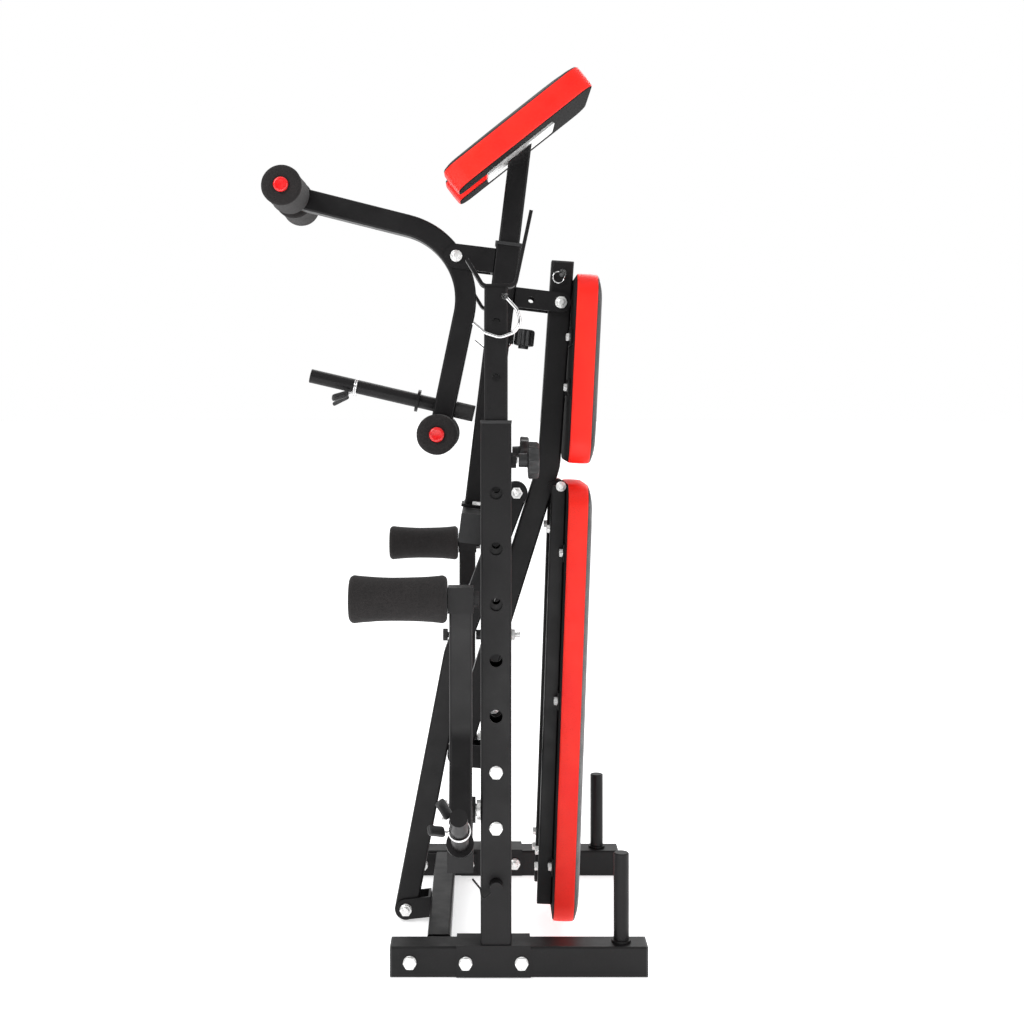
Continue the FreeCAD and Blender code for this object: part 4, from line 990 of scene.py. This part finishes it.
def collar(node, body, peg, plane):
    """Spring collar: two turns of wire on the peg, whose leaning tails end in flat black grips."""
    points = points_of(node)
    on_axis, axis, _, _, _ = slab(points_of(peg), plane)
    missing = 3 - sum(plane)
    on_axis[missing] = (points_of(peg)[:, missing].min() + points_of(peg)[:, missing].max()) / 2
    heights = points @ np.array(axis)
    centre = on_axis - axis * on_axis.dot(axis)
    radial = points - np.outer(heights, np.array(axis)) - np.array(centre)
    far = np.linalg.norm(radial, axis=1)
    bore = heights[far < 13.5 * MM]
    grips = far > 24 * MM
    middle = (bore.min() + bore.max()) / 2
    if heights[grips].mean() < middle:
        axis, centre, middle = -axis, centre, -middle
    grip = Vector(radial[grips].mean(0).tolist())
    grip = (grip - axis * grip.dot(axis)).normalized()
    origin = centre + axis * middle
    coil = 14.6 * MM
    parts = Parts()
    path = []
    sweep = 720 + 2 * SPREAD
    for degrees in range(-SPREAD, sweep - SPREAD + 1, 10):
        share = (degrees + SPREAD) / sweep
        spoke = Quaternion(axis, math.radians(degrees)) @ grip
        path.append(origin + axis * (6.8 * MM * (share - 0.5)) + spoke * coil)
    tails = []
    for first, turn in ((path[0], -SPREAD), (path[-1], SPREAD)):
        spoke = Quaternion(axis, math.radians(turn)) @ grip
        lean = (spoke * math.cos(TAIL_LEAN) + axis * math.sin(TAIL_LEAN)).normalized()
        hold = origin + spoke * (coil + 0.1 * MM) + lean * (13 * MM)
        tails.append((first + spoke * (2.6 * MM), hold))
        paddle(parts, hold - lean * (1.0 * MM), lean, axis.cross(spoke).normalized(), 1)
    before = eased([tails[0][1], tails[0][0], path[0]], 5)[:-1]
    after = eased([path[-1], tails[1][0], tails[1][1]], 5)[1:]
    parts.wire(before + path + after, 1.55 * MM, 0, 10)
    parts.piece(node + "_spring", [CHROME, PLASTIC], body, "bright_zinc", [node], math.radians(40))


# ---------------------------------------------------------------- rollers
def roller_axle(node, body):
    """Rod with a domed red cap on each end."""
    low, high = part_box(node)
    middle = (low + high) / 2
    parts = Parts()
    reach = high.y
    length = 2 * reach - 6 * MM
    parts.turned(Vector((middle.x, -reach + 3 * MM, middle.z)), (0, 1, 0),
                 [(0, 6 * MM), (0, 8 * MM), (length, 8 * MM), (length, 6 * MM)], 40, 1)
    for side in SIDES.values():
        seat = Vector((middle.x, side * (reach - 6 * MM), middle.z))
        rings = [(-0.4 * MM, 8.2 * MM), (-0.2 * MM, 12.2 * MM), (0.7 * MM, 13.0 * MM), (2.6 * MM, 13.0 * MM)]
        for k in range(1, 9):
            angle = math.pi / 2 * k / 8
            rings.append((2.6 * MM + 3.4 * MM * math.sin(angle), 9.4 * MM + 3.6 * MM * math.cos(angle)))
        rings += [(5.85 * MM, 7.5 * MM), (5.5 * MM, 4.0 * MM), (5.4 * MM, 1.0 * MM)]
        parts.turned(seat, (0, side, 0), rings, 56, 0)
    parts.piece(node + "_capped", [RED_CAP, ZINC], body, "red_cap", [node])


def bare_post_plate():
    """The preacher post's plate is zinc plated, and its tube is powder coated."""
    post = NODES["preacher_post"]
    _, _, up, _, _ = slab(points_of("preacher_board"))
    if up.z < 0:
        up = -up
    post.data.materials.append(ZINC)
    levels = points_of("preacher_post") @ np.array(up)
    lowest = levels.max() - PLATE_THICKNESS
    for polygon in post.data.polygons:
        polygon.material_index = int(all(levels[k] > lowest for k in polygon.vertices))


# ---------------------------------------------------------------- build
camera()
studio()
ground = floor()
bpy.context.scene.view_settings.view_transform = "Standard"

POWDER, ZINC, CHROME, PLASTIC = powder_coat(), zinc(), chrome(), moulded_plastic()
RUBBER, FOAM, BOARD_BACK, RED_CAP, THREAD = rubber(), foam(), board_back(), red_cap(), thread()
RED_VINYL = vinyl("red_vinyl", (0.92, 0.010, 0.006), (1.0, 0.024, 0.009), 0.42)
BLACK_VINYL = vinyl("black_vinyl", (0.010, 0.010, 0.010), (0.017, 0.016, 0.016), 0.36)
ground.data.materials.append(pale_floor())

CAD_FINISHES = {
    "safety_hook": CHROME, "lock_pin": CHROME, "column_spacers": PLASTIC,
    "foot_caps": PLASTIC, "upright_collars": PLASTIC, "main_tube_cap": PLASTIC, "stabiliser_caps": PLASTIC,
    "column_collar": PLASTIC, "lever_bumper": RUBBER, "link_bumper": RUBBER,
    "seat_board": BOARD_BACK, "backrest_board": BOARD_BACK, "preacher_board": BOARD_BACK, "flye_shafts": ZINC,
}
for label, node in NODES.items():
    chosen = next((material for stem, material in CAD_FINISHES.items() if label.startswith(stem)), POWDER)
    node.data.materials.clear()
    node.data.materials.append(chosen)

bare_post_plate()

pad("seat_pad", "main_frame", "seat_board", 40 * MM)
pad("backrest_pad", "backrest", "backrest_board", 40 * MM)
pad("preacher_pad", "preacher", "preacher_board", 30 * MM, (95 * MM, 28 * MM, 14 * MM))
roller_foams("upper_roller_foams", "upper_roller")
roller_foams("lower_roller_foams", "lower_roller")
roller_axle("upper_roller_axle", "upper_roller")
roller_axle("lower_roller_axle", "lower_roller")

collar("lever_collar", "lever_collar", "lever_peg", (0, 2))
for side_name in SIDES:
    arm_foam("flye_foam_" + side_name, "flye_foam_" + side_name)
    star_knob("height_knob_" + side_name, "height_knob_" + side_name)
    collar("flye_collar_" + side_name, "flye_collar_" + side_name, "flye_peg_" + side_name, (1, 2))

_, _, column_rear, _, _ = slab(points_of("column_collar"))
if column_rear.x < 0:
    column_rear = -column_rear
ribbed_knob("clamp_knob", "clamp_knob", column_rear)

for label, body in (("foot_bolts", "rack"), ("rack_pivot_bolts", "rack"), ("main_frame_bolts", "main_frame"),
                    ("column_bolts", "column"), ("backrest_bolts", "backrest")):
    fasteners(label, body)
